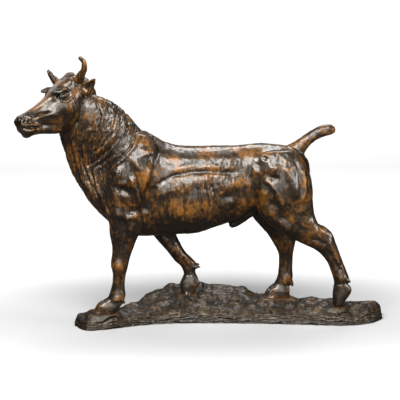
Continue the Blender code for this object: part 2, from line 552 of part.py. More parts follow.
def cup_ears(form):
    """Hollows the forward face of both ears."""
    places, normals = mesh_arrays(form.data)
    for flip in (1.0, -1.0):
        mirror = Matrix.Diagonal((1.0, flip, 1.0, 1.0))
        frame = HEAD @ mirror @ HEAD.inverted()
        points = grid_places(places, frame)
        inward = normals @ np.array(frame.inverted())[:3, :3].T[:, 1]
        mark = stroke(-2.6, 3.8, (-142, 237.5), (-136, 243), (-132.5, 246.5))
        weight = smooth_step((-inward - 0.3) / 0.3) * (points[:, 1] < -18.5)
        places += normals * (stroke_height(points[:, (0, 2)], mark) * weight * SQUARE)[:, None]
    form.data.vertices.foreach_set("co", places.ravel())
    form.data.update()


def flatten_soles(form):
    """Presses each hoof's underside into its level sole."""
    places, _ = mesh_arrays(form.data)
    points = grid_places(places)
    x, y, z = points.T
    for hoof in HOOVES:
        (toe_x, sole_z), (heel_x, _) = hoof["sole"]
        under = (x > toe_x - 8.0) & (x < heel_x + 8.0) & (np.abs(y - hoof["y"]) < 14.0) & (z < sole_z + 0.7)
        places[under, 2] = on_grid((0.0, 0.0, sole_z)).z
    form.data.vertices.foreach_set("co", places.ravel())
    form.data.update()


def bull():
    masses = fused([torso(), neck(), *shoulders_and_haunches()], FORM_VOXEL, 10)
    legs = [loft(leg, squareness=2.2) for leg in (NEAR_FORE, FAR_FORE, NEAR_HIND, FAR_HIND)]
    claws = [claw for hoof in HOOVES for claw in hoof_claws(hoof)]
    figure = fused([masses, *legs, *dewclaws(), tail(), *underline(), *head_parts(), *face_masses()],
                   SKIN_VOXEL, 5)
    figure = fused([figure, *claws, *horns(), *ears()], SKIN_VOXEL, 2)
    trunk = NECK_CARVING + SHOULDER_CARVING + BARREL_CARVING + HAUNCH_CARVING
    carve(figure, trunk, trunk_region)
    for middle, marks in LEG_CARVING.items():
        carve(figure, marks, leg_region(middle))
    carve(figure, HEAD_CARVING, head_region, HEAD)
    cup_ears(figure)
    flatten_soles(figure)
    return figure


# The base's outline in plan, as shares of half its length and half its depth, from the front end round
ROUNDED_RIM = 5.0           # squares over which the top bends down to the rim
PLAN_MIDDLE = (1.8, 9.0)    # of the plan, in squares from the origin
PLAN = [(-1.00, -0.46), (-0.97, -0.75), (-0.91, -0.93), (-0.76, -0.83), (-0.61, -0.65), (-0.42, -0.55),
        (-0.19, -0.56), (0.09, -0.66), (0.38, -0.81), (0.66, -0.98), (0.83, -0.95), (0.95, -0.72),
        (1.00, -0.42), (0.95, -0.18), (0.76, 0.10), (0.54, 0.28), (0.38, 0.46), (0.24, 0.66), (0.10, 0.88),
        (-0.10, 0.96), (-0.32, 0.98), (-0.49, 0.72), (-0.63, 0.30), (-0.80, 0.02), (-0.92, -0.12)]


def ground_height(x, y):
    """Height of the trodden ground on the grid: knolls before a bank that runs along the far side."""
    bank_end = 0.45 * smooth_step((x - 20.0) / 12.0) + 0.55 * smooth_step((x - 42.0) / 50.0)
    bank = 11.5 * smooth_step((x + 112.0) / 36.0) * (1.0 - bank_end) * np.exp(-((y - 52.0) / 25.0) ** 2)
    knoll = 7.5 * np.exp(-((x + 38.0) / 22.0) ** 2 - ((y - 16.0) / 22.0) ** 2)
    brow = 5.5 * np.exp(-((x + 50.0) / 15.0) ** 2 - ((y + 32.0) / 14.0) ** 2)
    ledge = 1.8 * smooth_step((x - 66.0) / 5.0) * smooth_step((y + 32.0 + 0.10 * (x - 80.0)) / 4.0)
    waves = 0.7 * np.sin(x / 7.0 + y / 5.0) + 0.5 * np.sin(x / 4.1 - y / 8.3 + 1.0)
    return LOWEST_SOLE - 1.0 + bank + knoll + brow + ledge + waves


def rim_distance(points, outline):
    """Squares from each point to the base's outline."""
    nearest = np.full(len(points), np.inf)
    for start, end in zip(outline, np.roll(outline, -1, axis=0)):
        run = end - start
        t = np.clip((points - start) @ run / (run @ run), 0.0, 1.0)
        nearest = np.minimum(nearest, np.linalg.norm(points - start - t[:, None] * run, axis=1))
    return nearest


def pressed_ground(points, outline):
    """The ground rounded off along its rim, with a level print under each hoof, a gap below its sole."""
    x, y = points.T
    inland = rim_distance(points, outline)
    height = ground_height(x, y) - ROUNDED_RIM * np.exp(-(inland / ROUNDED_RIM) ** 1.4)
    for hoof in HOOVES:
        (toe_x, sole_z), (heel_x, _) = hoof["sole"]
        beyond_x = np.abs(x - (toe_x + heel_x) / 2.0) - (heel_x - toe_x) / 2.0
        beyond_y = np.abs(y - hoof["y"]) - HOOF_HALF_WIDTH
        beyond = np.hypot(np.maximum(beyond_x, 0.0), np.maximum(beyond_y, 0.0))
        under = smooth_step((8.0 - beyond) / 6.0)
        height = height + (sole_z - SEAT_GAP / SQUARE - height) * under
    return height


def ground_base():
    """A slab cut to the plan, its top pressed to the ground and its rim flared and rough."""
    rows = smoothed_rows(PLAN[-1:] + PLAN + PLAN[:2], LOFT_STEPS)[LOFT_STEPS:-LOFT_STEPS - 1]
    middle = np.array(PLAN_MIDDLE) * SQUARE
    outline = middle + np.array(rows) * (BASE_LENGTH / 2, BASE_DEPTH / 2)
    curve = bpy.data.curves.new("plan", "CURVE")
    curve.dimensions = "2D"
    curve.fill_mode = "BOTH"
    curve.extrude = BASE_THICKNESS
    spline = curve.splines.new("POLY")
    spline.points.add(len(outline) - 1)
    for point, (x, y) in zip(spline.points, outline):
        point.co = (x, y, 0.0, 1.0)
    spline.use_cyclic_u = True
    piece = bpy.data.objects.new("plan", curve)
    bpy.context.scene.collection.objects.link(piece)
    slab = fused([closed_mesh(piece)], SLAB_VOXEL, 6)
    places, normals = mesh_arrays(slab.data)
    share = places[:, 2] / BASE_THICKNESS
    top = pressed_ground(places[:, :2] / SQUARE, outline / SQUARE)
    top = on_grid((0.0, 0.0, 0.0)).z + top * SQUARE
    side = np.linalg.norm(normals[:, :2], axis=1)
    rough = np.array([noise.fractal(Vector(p) * RIM_GRAIN, 1.0, 2.0, 4) for p in places])
    push = side * (RIM_FLARE * (0.6 - share) + RIM_ROUGHNESS * rough)
    places[:, :2] += normals[:, :2] * push[:, None]
    places[:, 2] = np.where(share > 0.0, share * top, places[:, 2])
    slab.data.vertices.foreach_set("co", places.ravel())
    slab.data.update()
    return slab


def thinned(form, triangles):
    """The form with no more than the given number of triangles."""
    form = worked(form, ("TRIANGULATE", {}))
    ratio = min(1.0, triangles / len(form.data.polygons))
    return worked(form, ("DECIMATE", {"ratio": ratio, "use_collapse_triangulate": True}))


def cut_flat(form):
    """Cuts the form off at the underside and closes it with one level face."""
    bm = bmesh.new()
    bm.from_mesh(form.data)
    cut = bmesh.ops.bisect_plane(bm, geom=bm.verts[:] + bm.edges[:] + bm.faces[:], plane_co=(0, 0, 0),
                                 plane_no=(0, 0, 1), clear_inner=True, dist=0.000001)
    rim = [item for item in cut["geom_cut"] if isinstance(item, bmesh.types.BMEdge)]
    bmesh.ops.contextual_create(bm, geom=rim)
    bmesh.ops.triangulate(bm, faces=bm.faces)
    bmesh.ops.recalc_face_normals(bm, faces=bm.faces)
    bm.to_mesh(form.data)
    bm.free()
    return form


def bronze(name, colour, roughness):
    material = bpy.data.materials.new(name)
    material.use_nodes = True
    shader = material.node_tree.nodes["Principled BSDF"]
    shader.inputs["Base Color"].default_value = (*colour, 1.0)
    shader.inputs["Metallic"].default_value = 1.0
    shader.inputs["Roughness"].default_value = roughness
    return material


def named(form, name, collection, material):
    form.name = name
    form.data.name = name
    for home in list(form.users_collection):
        home.objects.unlink(form)
    collection.objects.link(form)
    form.data.materials.clear()
    form.data.materials.append(material)
    form.data.shade_smooth()
    form.data.set_sharp_from_angle(angle=math.radians(50.0))


def main():
    for old in list(bpy.data.objects):
        bpy.data.objects.remove(old)
    collection = bpy.data.collections.new("bronze_bull")
    bpy.context.scene.collection.children.link(collection)
    figure = thinned(bull(), BULL_TRIANGLES)
    flatten_soles(figure)
    base = cut_flat(thinned(ground_base(), BASE_TRIANGLES))
    named(figure, "bull", collection, bronze("dark bronze", (0.09, 0.055, 0.035), 0.32))
    named(base, "ground_base", collection, bronze("brown bronze", (0.12, 0.075, 0.05), 0.5))


main()
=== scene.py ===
import math

import bmesh
import bpy
import numpy as np
from mathutils import Matrix, Vector, noise


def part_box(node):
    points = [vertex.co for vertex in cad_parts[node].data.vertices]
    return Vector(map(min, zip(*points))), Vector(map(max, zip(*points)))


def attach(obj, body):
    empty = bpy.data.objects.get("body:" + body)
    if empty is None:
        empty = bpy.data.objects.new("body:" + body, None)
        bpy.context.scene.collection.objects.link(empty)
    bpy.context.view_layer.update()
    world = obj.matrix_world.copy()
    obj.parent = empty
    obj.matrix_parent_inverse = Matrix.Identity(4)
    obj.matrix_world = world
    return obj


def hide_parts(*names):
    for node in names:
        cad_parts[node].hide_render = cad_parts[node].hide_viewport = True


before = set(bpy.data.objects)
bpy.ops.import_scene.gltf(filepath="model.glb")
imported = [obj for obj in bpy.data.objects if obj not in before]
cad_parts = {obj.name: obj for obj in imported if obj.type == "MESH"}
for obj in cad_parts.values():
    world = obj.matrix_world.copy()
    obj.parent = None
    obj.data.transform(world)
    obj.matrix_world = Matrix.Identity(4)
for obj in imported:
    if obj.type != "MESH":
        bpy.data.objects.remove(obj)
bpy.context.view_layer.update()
print("frame loaded:", sorted(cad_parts))

# The figure is drawn on a grid of squares. The grid's scale and its ground line come from the frame's bull.
figureLow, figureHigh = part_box("bull")
figureSquares = 250.9   # from the lowest sole to the horn tip
lowestSole = 19.0
square = (figureHigh.z - figureLow.z) / figureSquares
stance = 19.0           # from the middle plane to the middle of each hoof

bullForm = {
    "masses": (2.0, 10),    # voxel in squares and rounds of smoothing, where the big masses are fused
    "limbs": (1.0, 5),      # where the legs and the head join them
    "skin": (0.66, 4),      # and where hooves, horns, ears and eyes do, for the carving
    "triangles": 194000,
    "sectionSides": 28,
    "loftSteps": 6,
    "headPlace": (-152.0, -8.0, 252.5),
    "headTurn": 33.0,       # degrees towards the near side
    "headBow": 32.0,        # degrees down
    "eye": ((-26.2, 13.9, -6.4), (4.8, 2.9, 3.0), 22.0),   # place and radii on the head's grid, and lean
    "reliefs": {"fineRelief": (6, 0.0008), "broadRelief": (40, 0.002)},   # (rounds, height that counts as 1)
}


def onGrid(point):
    x, y, z = point
    return Vector((x * square, y * square, figureLow.z + (z - lowestSole) * square))


body = Matrix.Identity(4)
head = (Matrix.Translation(bullForm["headPlace"])
        @ Matrix.Rotation(math.radians(bullForm["headTurn"]), 4, "Z")
        @ Matrix.Rotation(math.radians(-bullForm["headBow"]), 4, "Y"))


def between(before, start, end, after, t):   # Catmull-Rom curve from start to end
    return 0.5 * (2.0 * start + (end - before) * t
                  + (2.0 * before - 5.0 * start + 4.0 * end - after) * t * t
                  + (3.0 * start - before - 3.0 * end + after) * t ** 3)


def smoothedRows(rows, steps):
    rows = [np.array(row, dtype=float) for row in rows]
    padded = [2.0 * rows[0] - rows[1]] + rows + [2.0 * rows[-1] - rows[-2]]
    result = []
    for i in range(1, len(padded) - 2):
        result += [between(*padded[i - 1:i + 3], step / steps) for step in range(steps)]
    return result + [rows[-1]]


def rounded(value, squareness):
    return math.copysign(abs(value) ** (2.0 / squareness), value)


def added(name, data):   # a new object in the scene
    item = bpy.data.objects.new(name, data)
    bpy.context.scene.collection.objects.link(item)
    return item


def newForm(bm):
    mesh = bpy.data.meshes.new("form")
    bm.to_mesh(mesh)
    bm.free()
    return added("form", mesh)


# A section is (front point, back point, y, half width[, fullness]); fullness widens the back end
def sectionRing(row, squareness):
    frontX, frontZ, backX, backZ, y, halfWidth, fullness = row
    ring = []
    for i in range(bullForm["sectionSides"]):
        angle = 2.0 * math.pi * i / bullForm["sectionSides"]
        share = 0.5 - 0.5 * rounded(math.cos(angle), squareness)
        across = rounded(math.sin(angle), squareness) * halfWidth * (1.0 + fullness * (2.0 * share - 1.0))
        ring.append((frontX + (backX - frontX) * share, y + across, frontZ + (backZ - frontZ) * share))
    return ring


def loft(sections, squareness=2.2, place=body, fullness=0.0):
    rows = [(*s[0], *s[1], s[2], s[3], s[4] if len(s) > 4 else fullness) for s in sections]
    rings = [sectionRing(row, squareness) for row in smoothedRows(rows, bullForm["loftSteps"])]
    sides = bullForm["sectionSides"]
    bm = bmesh.new()
    loops = [[bm.verts.new(onGrid(place @ Vector(p))) for p in ring] for ring in rings]
    for lower, upper in zip(loops, loops[1:]):
        for i in range(sides):
            j = (i + 1) % sides
            bm.faces.new((lower[i], lower[j], upper[j], upper[i]))
    bm.faces.new(reversed(loops[0]))
    bm.faces.new(loops[-1])
    bmesh.ops.recalc_face_normals(bm, faces=bm.faces)
    return newForm(bm)


def ball(centre, radii, place=body, lean=0.0):
    bm = bmesh.new()
    bmesh.ops.create_uvsphere(bm, u_segments=24, v_segments=14, radius=1.0)
    spot = place @ Matrix.Translation(centre) @ Matrix.Rotation(math.radians(lean), 4, "Y")
    spot = spot @ Matrix.Diagonal((*radii, 1.0))
    for vert in bm.verts:
        vert.co = onGrid(spot @ vert.co)
    bmesh.ops.recalc_face_normals(bm, faces=bm.faces)
    return newForm(bm)


def bar(points, radii, place=body):
    curve = bpy.data.curves.new("bar", "CURVE")
    curve.dimensions = "3D"
    curve.bevel_depth = square
    curve.bevel_resolution = 4
    curve.use_fill_caps = True
    rows = smoothedRows([(*p, r) for p, r in zip(points, radii)], bullForm["loftSteps"])
    spline = curve.splines.new("POLY")
    spline.points.add(len(rows) - 1)
    for point, (x, y, z, radius) in zip(spline.points, rows):
        point.co = (*onGrid(place @ Vector((x, y, z))), 1.0)
        point.radius = radius
    return meshOf(added("bar", curve))


def evaluatedMesh(piece):
    bpy.context.view_layer.update()
    return bpy.data.meshes.new_from_object(piece.evaluated_get(bpy.context.evaluated_depsgraph_get()))


def meshOf(piece):   # a curve object as a closed mesh form
    mesh = evaluatedMesh(piece)
    bpy.data.objects.remove(piece)
    bm = bmesh.new()
    bm.from_mesh(mesh)
    bpy.data.meshes.remove(mesh)
    bmesh.ops.remove_doubles(bm, verts=bm.verts, dist=0.00001)
    bmesh.ops.recalc_face_normals(bm, faces=bm.faces)
    return newForm(bm)


def joined(forms):
    bm = bmesh.new()
    for form in forms:
        bm.from_mesh(form.data)
        bpy.data.objects.remove(form)
    return newForm(bm)


def applied(form):   # the form's modifiers taken into its mesh
    mesh = evaluatedMesh(form)
    form.modifiers.clear()
    form.data = mesh
    return form


def fused(forms, fineness):
    voxelSquares, smoothing = fineness
    form = joined(forms)
    remesh = form.modifiers.new("Remesh", "REMESH")
    remesh.mode = "VOXEL"
    remesh.voxel_size = voxelSquares * square
    smooth = form.modifiers.new("Smooth", "SMOOTH")
    smooth.factor = 0.5
    smooth.iterations = smoothing
    return applied(form)


def thinned(form, triangles):
    form.modifiers.new("Triangulate", "TRIANGULATE")
    applied(form)
    decimate = form.modifiers.new("Decimate", "DECIMATE")
    decimate.ratio = min(1.0, triangles / len(form.data.polygons))
    return applied(form)


# (x, top, bottom, half width) of the barrel, from the buttocks to the breast
barrelRibs = [(82, 164, 122, 10), (77, 171, 116, 15), (72, 175, 113, 18), (62, 179.5, 111, 22.5),
              (47, 182, 112, 25), (34, 183, 114, 25.5), (22, 182.5, 115.5, 24), (9, 181, 106, 26),
              (-3, 181, 102.5, 28.5), (-18, 181, 97.5, 31), (-33, 180.8, 93, 32.5), (-48, 181.5, 92.5, 32.5),
              (-63, 185.5, 91.5, 31), (-78, 194, 91, 29), (-90, 198, 91, 28), (-102, 200, 95, 27.5),
              (-114, 198, 102, 26), (-126, 190, 112, 23), (-138, 178, 126, 17), (-147, 164, 141, 10)]
neckSections = [((-143, 241), (-168, 203), -8.0, 10.5, 0.0), ((-132, 233), (-165.5, 188), -7.0, 13.5, -0.2),
                ((-119.6, 228), (-162.5, 177), -4.5, 15.5, -0.4), ((-108, 221), (-159, 164), -2.5, 18, -0.45),
                ((-96, 209), (-153.6, 150.6), -1.0, 20.5, -0.45), ((-87.5, 198), (-146, 138), 0.0, 23, -0.4),
                ((-78, 187), (-134, 120), 0.0, 25, -0.25)]
legRoots = {
    "nearShoulder": [((-109, 194), (-82, 195), -12, 9.5), ((-117, 178), (-71, 180), -16.5, 14.5),
                     ((-122, 160), (-68, 160), -19, 16), ((-123, 143), (-74, 142), -20, 15),
                     ((-122, 125), (-83, 124), -stance, 13.5)],
    "farShoulder": [((-109, 194), (-80, 195), 12, 9.5), ((-114, 178), (-66, 180), 16.5, 14.5),
                    ((-112, 158), (-60, 160), 19, 16), ((-104, 138), (-58, 140), 20, 15),
                    ((-94, 120), (-58, 122), stance, 13.5)],
    "nearHaunch": [((28, 176), (66, 178), -11, 12), ((25, 162), (75, 165), -15, 15),
                   ((25, 142), (82, 146), -17.5, 16), ((27, 122), (83, 126), -18, 15)],
    "farHaunch": [((28, 176), (66, 178), 11, 12), ((27, 160), (76, 163), 15, 15),
                  ((27, 138), (80, 142), 17.5, 16), ((26, 118), (80, 122), 18, 15)],
}
legs = {
    "nearFore": [((-122, 137), (-85, 134), -18, 13), ((-122, 120), (-85, 114), -stance, 12.5),
                 ((-119.5, 108), (-86, 102), -stance, 11), ((-118.5, 96), (-90, 95), -stance, 9.8),
                 ((-116.5, 84), (-94, 86), -stance, 8.4), ((-116.8, 75), (-98, 75), -stance, 7.6),
                 ((-118, 67), (-101, 64), -stance, 8.2), ((-116, 55), (-103.6, 53), -stance, 6.2),
                 ((-117.3, 44), (-104.4, 44), -stance, 5.8), ((-120.6, 34), (-103.8, 34), -stance, 7.0),
                 ((-124.5, 28), (-108, 26), -stance, 7.0)],
    "farFore": [((-92, 122), (-58, 124), stance, 13), ((-82, 101), (-52.4, 104), stance, 11.5),
                ((-73.2, 86.3), (-50.4, 88.2), stance, 9.8), ((-65.4, 77), (-47, 80), stance, 8.4),
                ((-58.8, 69.2), (-42, 71), stance, 8.2), ((-52.8, 61), (-35, 63.5), stance, 7.2),
                ((-46.4, 55), (-30, 58), stance, 6.6), ((-43.2, 48), (-31.2, 50.5), stance, 6.0),
                ((-43.6, 42), (-29.8, 44), stance, 6.6), ((-45, 36), (-29, 38), stance, 7.0)],
    "nearHind": [((25, 142), (82, 146), -16, 15), ((27, 121), (83, 126), -18, 14),
                 ((33, 110), (84.5, 115), -18, 12.5), ((45, 99.5), (87, 107), -stance, 11),
                 ((56, 92.5), (89.5, 103.5), -stance, 9.6), ((67, 86.5), (96, 100.5), -stance, 8.6),
                 ((79, 81), (102.5, 94.5), -stance, 7.8), ((88, 76), (106, 86), -stance, 7.2),
                 ((95, 69), (110, 76), -stance, 6.4), ((99.5, 62), (113.3, 67), -stance, 6.0),
                 ((102.6, 54), (118.5, 54.5), -stance, 6.4), ((105.0, 47), (120.6, 48), -stance, 7.0),
                 ((106.0, 42), (119.6, 43), -stance, 6.4), ((105.8, 36), (120.6, 37), -stance, 6.8)],
    "farHind": [((26, 138), (80, 138), 16, 15), ((26.5, 109), (80, 112), 18, 14),
                ((34, 97.5), (79.5, 99), stance, 11), ((43, 87.5), (77, 90), stance, 9.4),
                ((49, 78), (73, 80), stance, 8.2), ((53.5, 70), (71, 70), stance, 7.0),
                ((55.2, 63.5), (70, 62.5), stance, 6.2), ((55.4, 52), (69.6, 51.7), stance, 6.0),
                ((54.0, 41.5), (70.0, 41.5), stance, 7.2), ((50.5, 34), (66.8, 32), stance, 6.8)],
}
hoofHalfWidth = 8.6
clawOffset = 0.52       # of that half width, from the hoof's middle to the claw's
clawHalf = 0.47         # of it again, half the width of a claw
clawSink = 2.0          # squares that a claw goes on below the sole until it is flattened
hooves = [
    {"y": -stance, "coronet": ((-121.5, 32), (-106.0, 28.5)), "middle": ((-130.5, 26.5), (-109.5, 24)),
     "sole": ((-135.5, 19), (-115, 19))},
    {"y": stance, "coronet": ((-42.8, 45.5), (-30.4, 46)), "middle": ((-46.6, 36), (-27.4, 37.5)),
     "sole": ((-45.6, 27), (-34, 27))},
    {"y": -stance, "coronet": ((106.3, 41.5), (119.4, 42.5)), "middle": ((105.3, 32), (122.4, 35)),
     "sole": ((105.8, 20.6), (112.5, 20.6))},
    {"y": stance, "coronet": ((53, 35.5), (66.5, 32)), "middle": ((45.5, 29.5), (66.6, 27)),
     "sole": ((40, 21), (66, 21))},
]
dewclawSpikes = [        # (root x, z), (tip x, z), y of the hoof
    ((-109, 32.5), (-104.2, 28.0), -stance), ((-34, 54.5), (-26.0, 55.2), stance),
    ((115, 47.5), (122.0, 44.8), -stance), ((66, 39.5), (70.2, 32.5), stance)]


def trunk():
    barrel = loft([((x, top), (x, bottom), 0.0, half) for x, top, bottom, half in barrelRibs],
                  squareness=2.25, fullness=0.10)
    roots = [loft(root, squareness=2.3) for root in legRoots.values()]
    return [barrel, loft(neckSections, squareness=2.15), *roots]


def hoofClaws(hoof):
    claws = []
    (toeX, soleZ), (heelX, _) = hoof["sole"]
    half = hoofHalfWidth * clawHalf
    for side in (-1.0, 1.0):
        y = hoof["y"] + side * hoofHalfWidth * clawOffset
        claws.append(loft([(*hoof["coronet"], y - side * 1.2, half - 0.6), (*hoof["middle"], y, half),
                           (*hoof["sole"], y + side * 0.2, half + 0.2),
                           ((toeX, soleZ - clawSink), (heelX, soleZ - clawSink), y + side * 0.2, half)],
                          squareness=2.6))
    return claws


def dewclaws():
    return [bar([(rootX, y + side * 3.6, rootZ), ((rootX + tipX) / 2, y + side * 4.2, (rootZ + tipZ) / 2),
                 (tipX, y + side * 4.4, tipZ + side * 1.0)], [2.8, 2.3, 1.0])
            for (rootX, rootZ), (tipX, tipZ), y in dewclawSpikes for side in (-1, 1)]


def tail():
    return loft([((60, 181), (71, 168), 0, 6.5), ((66, 183.5), (76, 170.5), 0, 6.2),
                 ((72.6, 188), (79.5, 176.5), 0, 5.6), ((79.3, 192.5), (85, 182.6), 0, 5.2),
                 ((85.9, 196.5), (91.5, 186.8), 0, 5.0), ((94.6, 200.4), (98.7, 189.3), 0, 5.2),
                 ((101.7, 201.4), (103.8, 190.7), 0, 5.0), ((107.6, 199), (108, 193), 0, 3.0)])


def underline():
    sheath = bar([(27, 0, 117), (18, 0, 110), (9, 0, 103.8), (4, 0, 100.6), (1.6, 0, 99.0)],
                 [6.0, 5.2, 4.8, 3.9, 1.8])
    return [sheath, ball((63, 0, 113), (8.0, 7.0, 12.0), lean=12.0)]


# On the head's own grid: (distance from the poll, top, bottom, half width, fullness)
skullSlices = [(-9, -9, -30, 9.5, 0.0), (-2, -4.0, -34, 12.5, 0.0), (6, -1.6, -37, 14.5, -0.05),
               (14, -1.8, -40, 15.8, -0.1), (22, -2.6, -42, 16.2, -0.12), (30, -4.0, -42.4, 15.4, -0.15),
               (39, -5.4, -41, 13.0, -0.15), (48, -5.6, -37, 11.0, -0.12), (56, -5.0, -31.5, 9.8, -0.1),
               (63, -4.2, -26.6, 10.0, -0.05), (70, -3.6, -23.2, 10.4, 0.0), (75, -5.0, -20.0, 9.2, 0.0),
               (77.8, -8.4, -15.6, 5.5, 0.0)]
bridgeSlices = [(-2, -3.6, -10, 9.5, 0.1), (3, -0.4, -9, 10.2, 0.15), (9, 2.0, -8.5, 10.6, 0.18),
                (15, 2.6, -8, 10.6, 0.22), (22, 1.7, -8, 10.0, 0.30), (30, 0.4, -8, 9.2, 0.36),
                (38, -1.4, -9, 7.6, 0.38), (48, -2.2, -9, 6.6, 0.36), (56, -1.9, -9, 6.0, 0.34),
                (63, -1.5, -8.5, 6.0, 0.32), (70, -0.9, -8, 6.2, 0.30), (74.5, -2.6, -8, 5.4, 0.2)]


def skull():   # slices through the head and the bridge of the nose, then poll, chin, brows, cheeks and lips
    masses = [loft([((-a, top), (-a, bottom), 0.0, half, full) for a, top, bottom, half, full in slices],
                   squareness=squareness, place=head)
              for slices, squareness in ((skullSlices, 2.5), (bridgeSlices, 3.4))]
    masses += [ball((-4.5, 1.5, -0.8), (6.5, 7.5, 4.2), head), ball((-72.5, 0, -19.4), (5.6, 6.5, 3.8), head)]
    for side in (-1.0, 1.0):
        masses += [ball((-27.0, side * 11.2, -1.0), (8.0, 4.4, 2.4), head, lean=20.0),
                   ball((-24.0, side * 9.5, -26.0), (14.0, 6.0, 12.5), head, lean=30.0),
                   ball((-71.0, side * 6.8, -6.0), (5.4, 3.6, 3.6), head),
                   ball((-69.0, side * 5.6, -16.4), (7.0, 4.5, 3.0), head, lean=-14.0)]
    return masses


def horns():
    near = bar([(-150, -12, 242.5), (-147.3, -16.5, 247), (-143.8, -20.5, 252), (-141.3, -23.5, 257),
                (-140.6, -25.5, 261.6), (-141.6, -26, 265.6), (-144.4, -26, 268.2), (-146.6, -26, 268.6)],
               [5.0, 4.8, 3.8, 3.1, 2.7, 2.4, 2.0, 1.3])
    far = bar([(-162, -3, 238.5), (-166.5, 2, 242.6), (-171.2, 5.5, 247), (-174.3, 8, 251.4),
               (-176.6, 10, 255.2)], [5.0, 4.6, 3.5, 2.6, 1.4])
    return [near, far]


def ear(place):
    leaf = [((-147.0, 239.0), (-146.6, 231.4), 2.8, -17.0), ((-145.2, 240.4), (-143.0, 230.8), 2.8, -19.0),
            ((-143.2, 244.2), (-138.2, 232.0), 2.6, -21.5), ((-139.2, 245.4), (-134.4, 235.6), 2.2, -24.0),
            ((-135.6, 247.4), (-131.8, 240.4), 1.9, -26.4), ((-132.6, 249.0), (-130.2, 245.0), 1.4, -28.4),
            ((-130.6, 249.8), (-129.6, 248.2), 0.8, -29.4)]
    return loft([(front, back, y, half) for front, back, half, y in leaf], place=place)


farSideOfHead = head @ Matrix.Diagonal((1.0, -1.0, 1.0, 1.0)) @ head.inverted()


# Carving marks on the side view, in squares: strokes along a path and oval dabs. A negative height cuts in.
def stroke(height, width, *path, swell=0.0):
    return {"height": height, "width": width, "path": np.array(path, dtype=float), "swell": swell}


def dab(height, middle, halfLength, halfWidth, lean=0.0):   # lean in degrees up from the x axis
    return {"height": height, "middle": np.array(middle, dtype=float),
            "half": np.array((halfLength, halfWidth)), "lean": math.radians(lean)}


def smoothStep(value):
    value = np.clip(value, 0.0, 1.0)
    return value * value * (3.0 - 2.0 * value)


def dabHeight(points, mark):
    offset = points - mark["middle"]
    along = offset @ (math.cos(mark["lean"]), math.sin(mark["lean"]))
    across = offset @ (-math.sin(mark["lean"]), math.cos(mark["lean"]))
    return mark["height"] * np.exp(-(along / mark["half"][0]) ** 2 - (across / mark["half"][1]) ** 2)


def strokeHeight(points, mark):   # fades at both ends; a swell raises the skin along one side of the cut
    path, width = mark["path"], mark["width"]
    nearest = np.full(len(points), np.inf)
    signed = np.zeros(len(points))
    along = np.zeros(len(points))
    runs = len(path) - 1
    for i in range(runs):
        run = path[i + 1] - path[i]
        offset = points - path[i]
        t = np.clip(offset @ run / (run @ run), 0.0, 1.0)
        apart = offset - t[:, None] * run
        distance = np.linalg.norm(apart, axis=1)
        side = np.sign(run[0] * apart[:, 1] - run[1] * apart[:, 0])
        closer = distance < nearest
        nearest = np.where(closer, distance, nearest)
        signed = np.where(closer, distance * side, signed)
        along = np.where(closer, (i + t) / runs, along)
    fade = smoothStep(np.minimum(along, 1.0 - along) * 5.0 + 0.25)
    height = mark["height"] * np.exp(-(nearest / width) ** 2)
    height += mark["swell"] * np.exp(-((signed - 1.9 * width) / (1.3 * width)) ** 2)
    return height * fade


def meshArrays(mesh):
    places = np.empty(len(mesh.vertices) * 3)
    normals = np.empty(len(mesh.vertices) * 3)
    mesh.vertices.foreach_get("co", places)
    mesh.vertices.foreach_get("normal", normals)
    return places.reshape(-1, 3), normals.reshape(-1, 3)


def seenFrom(place, points):   # grid places as the head, for one, sees them
    inverse = np.array(place.inverted())
    return points @ inverse[:3, :3].T + inverse[:3, 3]


def gridPlaces(places, place=body):
    points = places / square
    points[:, 2] += lowestSole - figureLow.z / square
    return seenFrom(place, points)


def sideFacing(normals, place):   # how far the skin looks sideways, negative on the near side
    return normals @ np.array(place.inverted())[:3, :3].T[:, 1]


def setPlaces(form, places):
    form.data.vertices.foreach_set("co", places.ravel())
    form.data.update()


def carve(form, marks, region, place=body):   # moves the skin that faces sideways in or out along its normals
    places, normals = meshArrays(form.data)
    points = gridPlaces(places, place)
    weight = smoothStep((np.abs(sideFacing(normals, place)) - 0.1) / 0.4) * region(points)
    flat = points[:, (0, 2)]
    height = np.zeros(len(points))
    for mark in marks:
        isDab = "middle" in mark
        if isDab:   # only the points that a mark can reach are worked out
            margin = 2.6 * mark["half"].max()
            low, high = mark["middle"] - margin, mark["middle"] + margin
        else:
            margin = 3.0 * mark["width"] * (1.5 if mark["swell"] else 1.0)
            low, high = mark["path"].min(axis=0) - margin, mark["path"].max(axis=0) + margin
        near = np.flatnonzero((weight > 0.0) & np.all((flat > low) & (flat < high), axis=1))
        height[near] += dabHeight(flat[near], mark) if isDab else strokeHeight(flat[near], mark)
    setPlaces(form, places + normals * (height * weight * square)[:, None])


def headRegion(points):   # from the poll forwards, on the head's grid
    x, y, z = points.T
    return smoothStep((-8.0 - x) / 6.0) * smoothStep((z + 46.0) / 4.0) * (np.abs(y) < 22.0)


def trunkRegion(points):   # all above the legs but the head
    return (1.0 - headRegion(seenFrom(head, points))) * smoothStep((points[:, 2] - 92.0) / 10.0)


def legRegion(middle):   # the legs on one side, up to the elbow and the stifle
    def region(points):
        ownSide = np.abs(points[:, 1] - middle) < stance - 2.0
        return ownSide * smoothStep((128.0 - points[:, 2]) / 12.0)
    return region


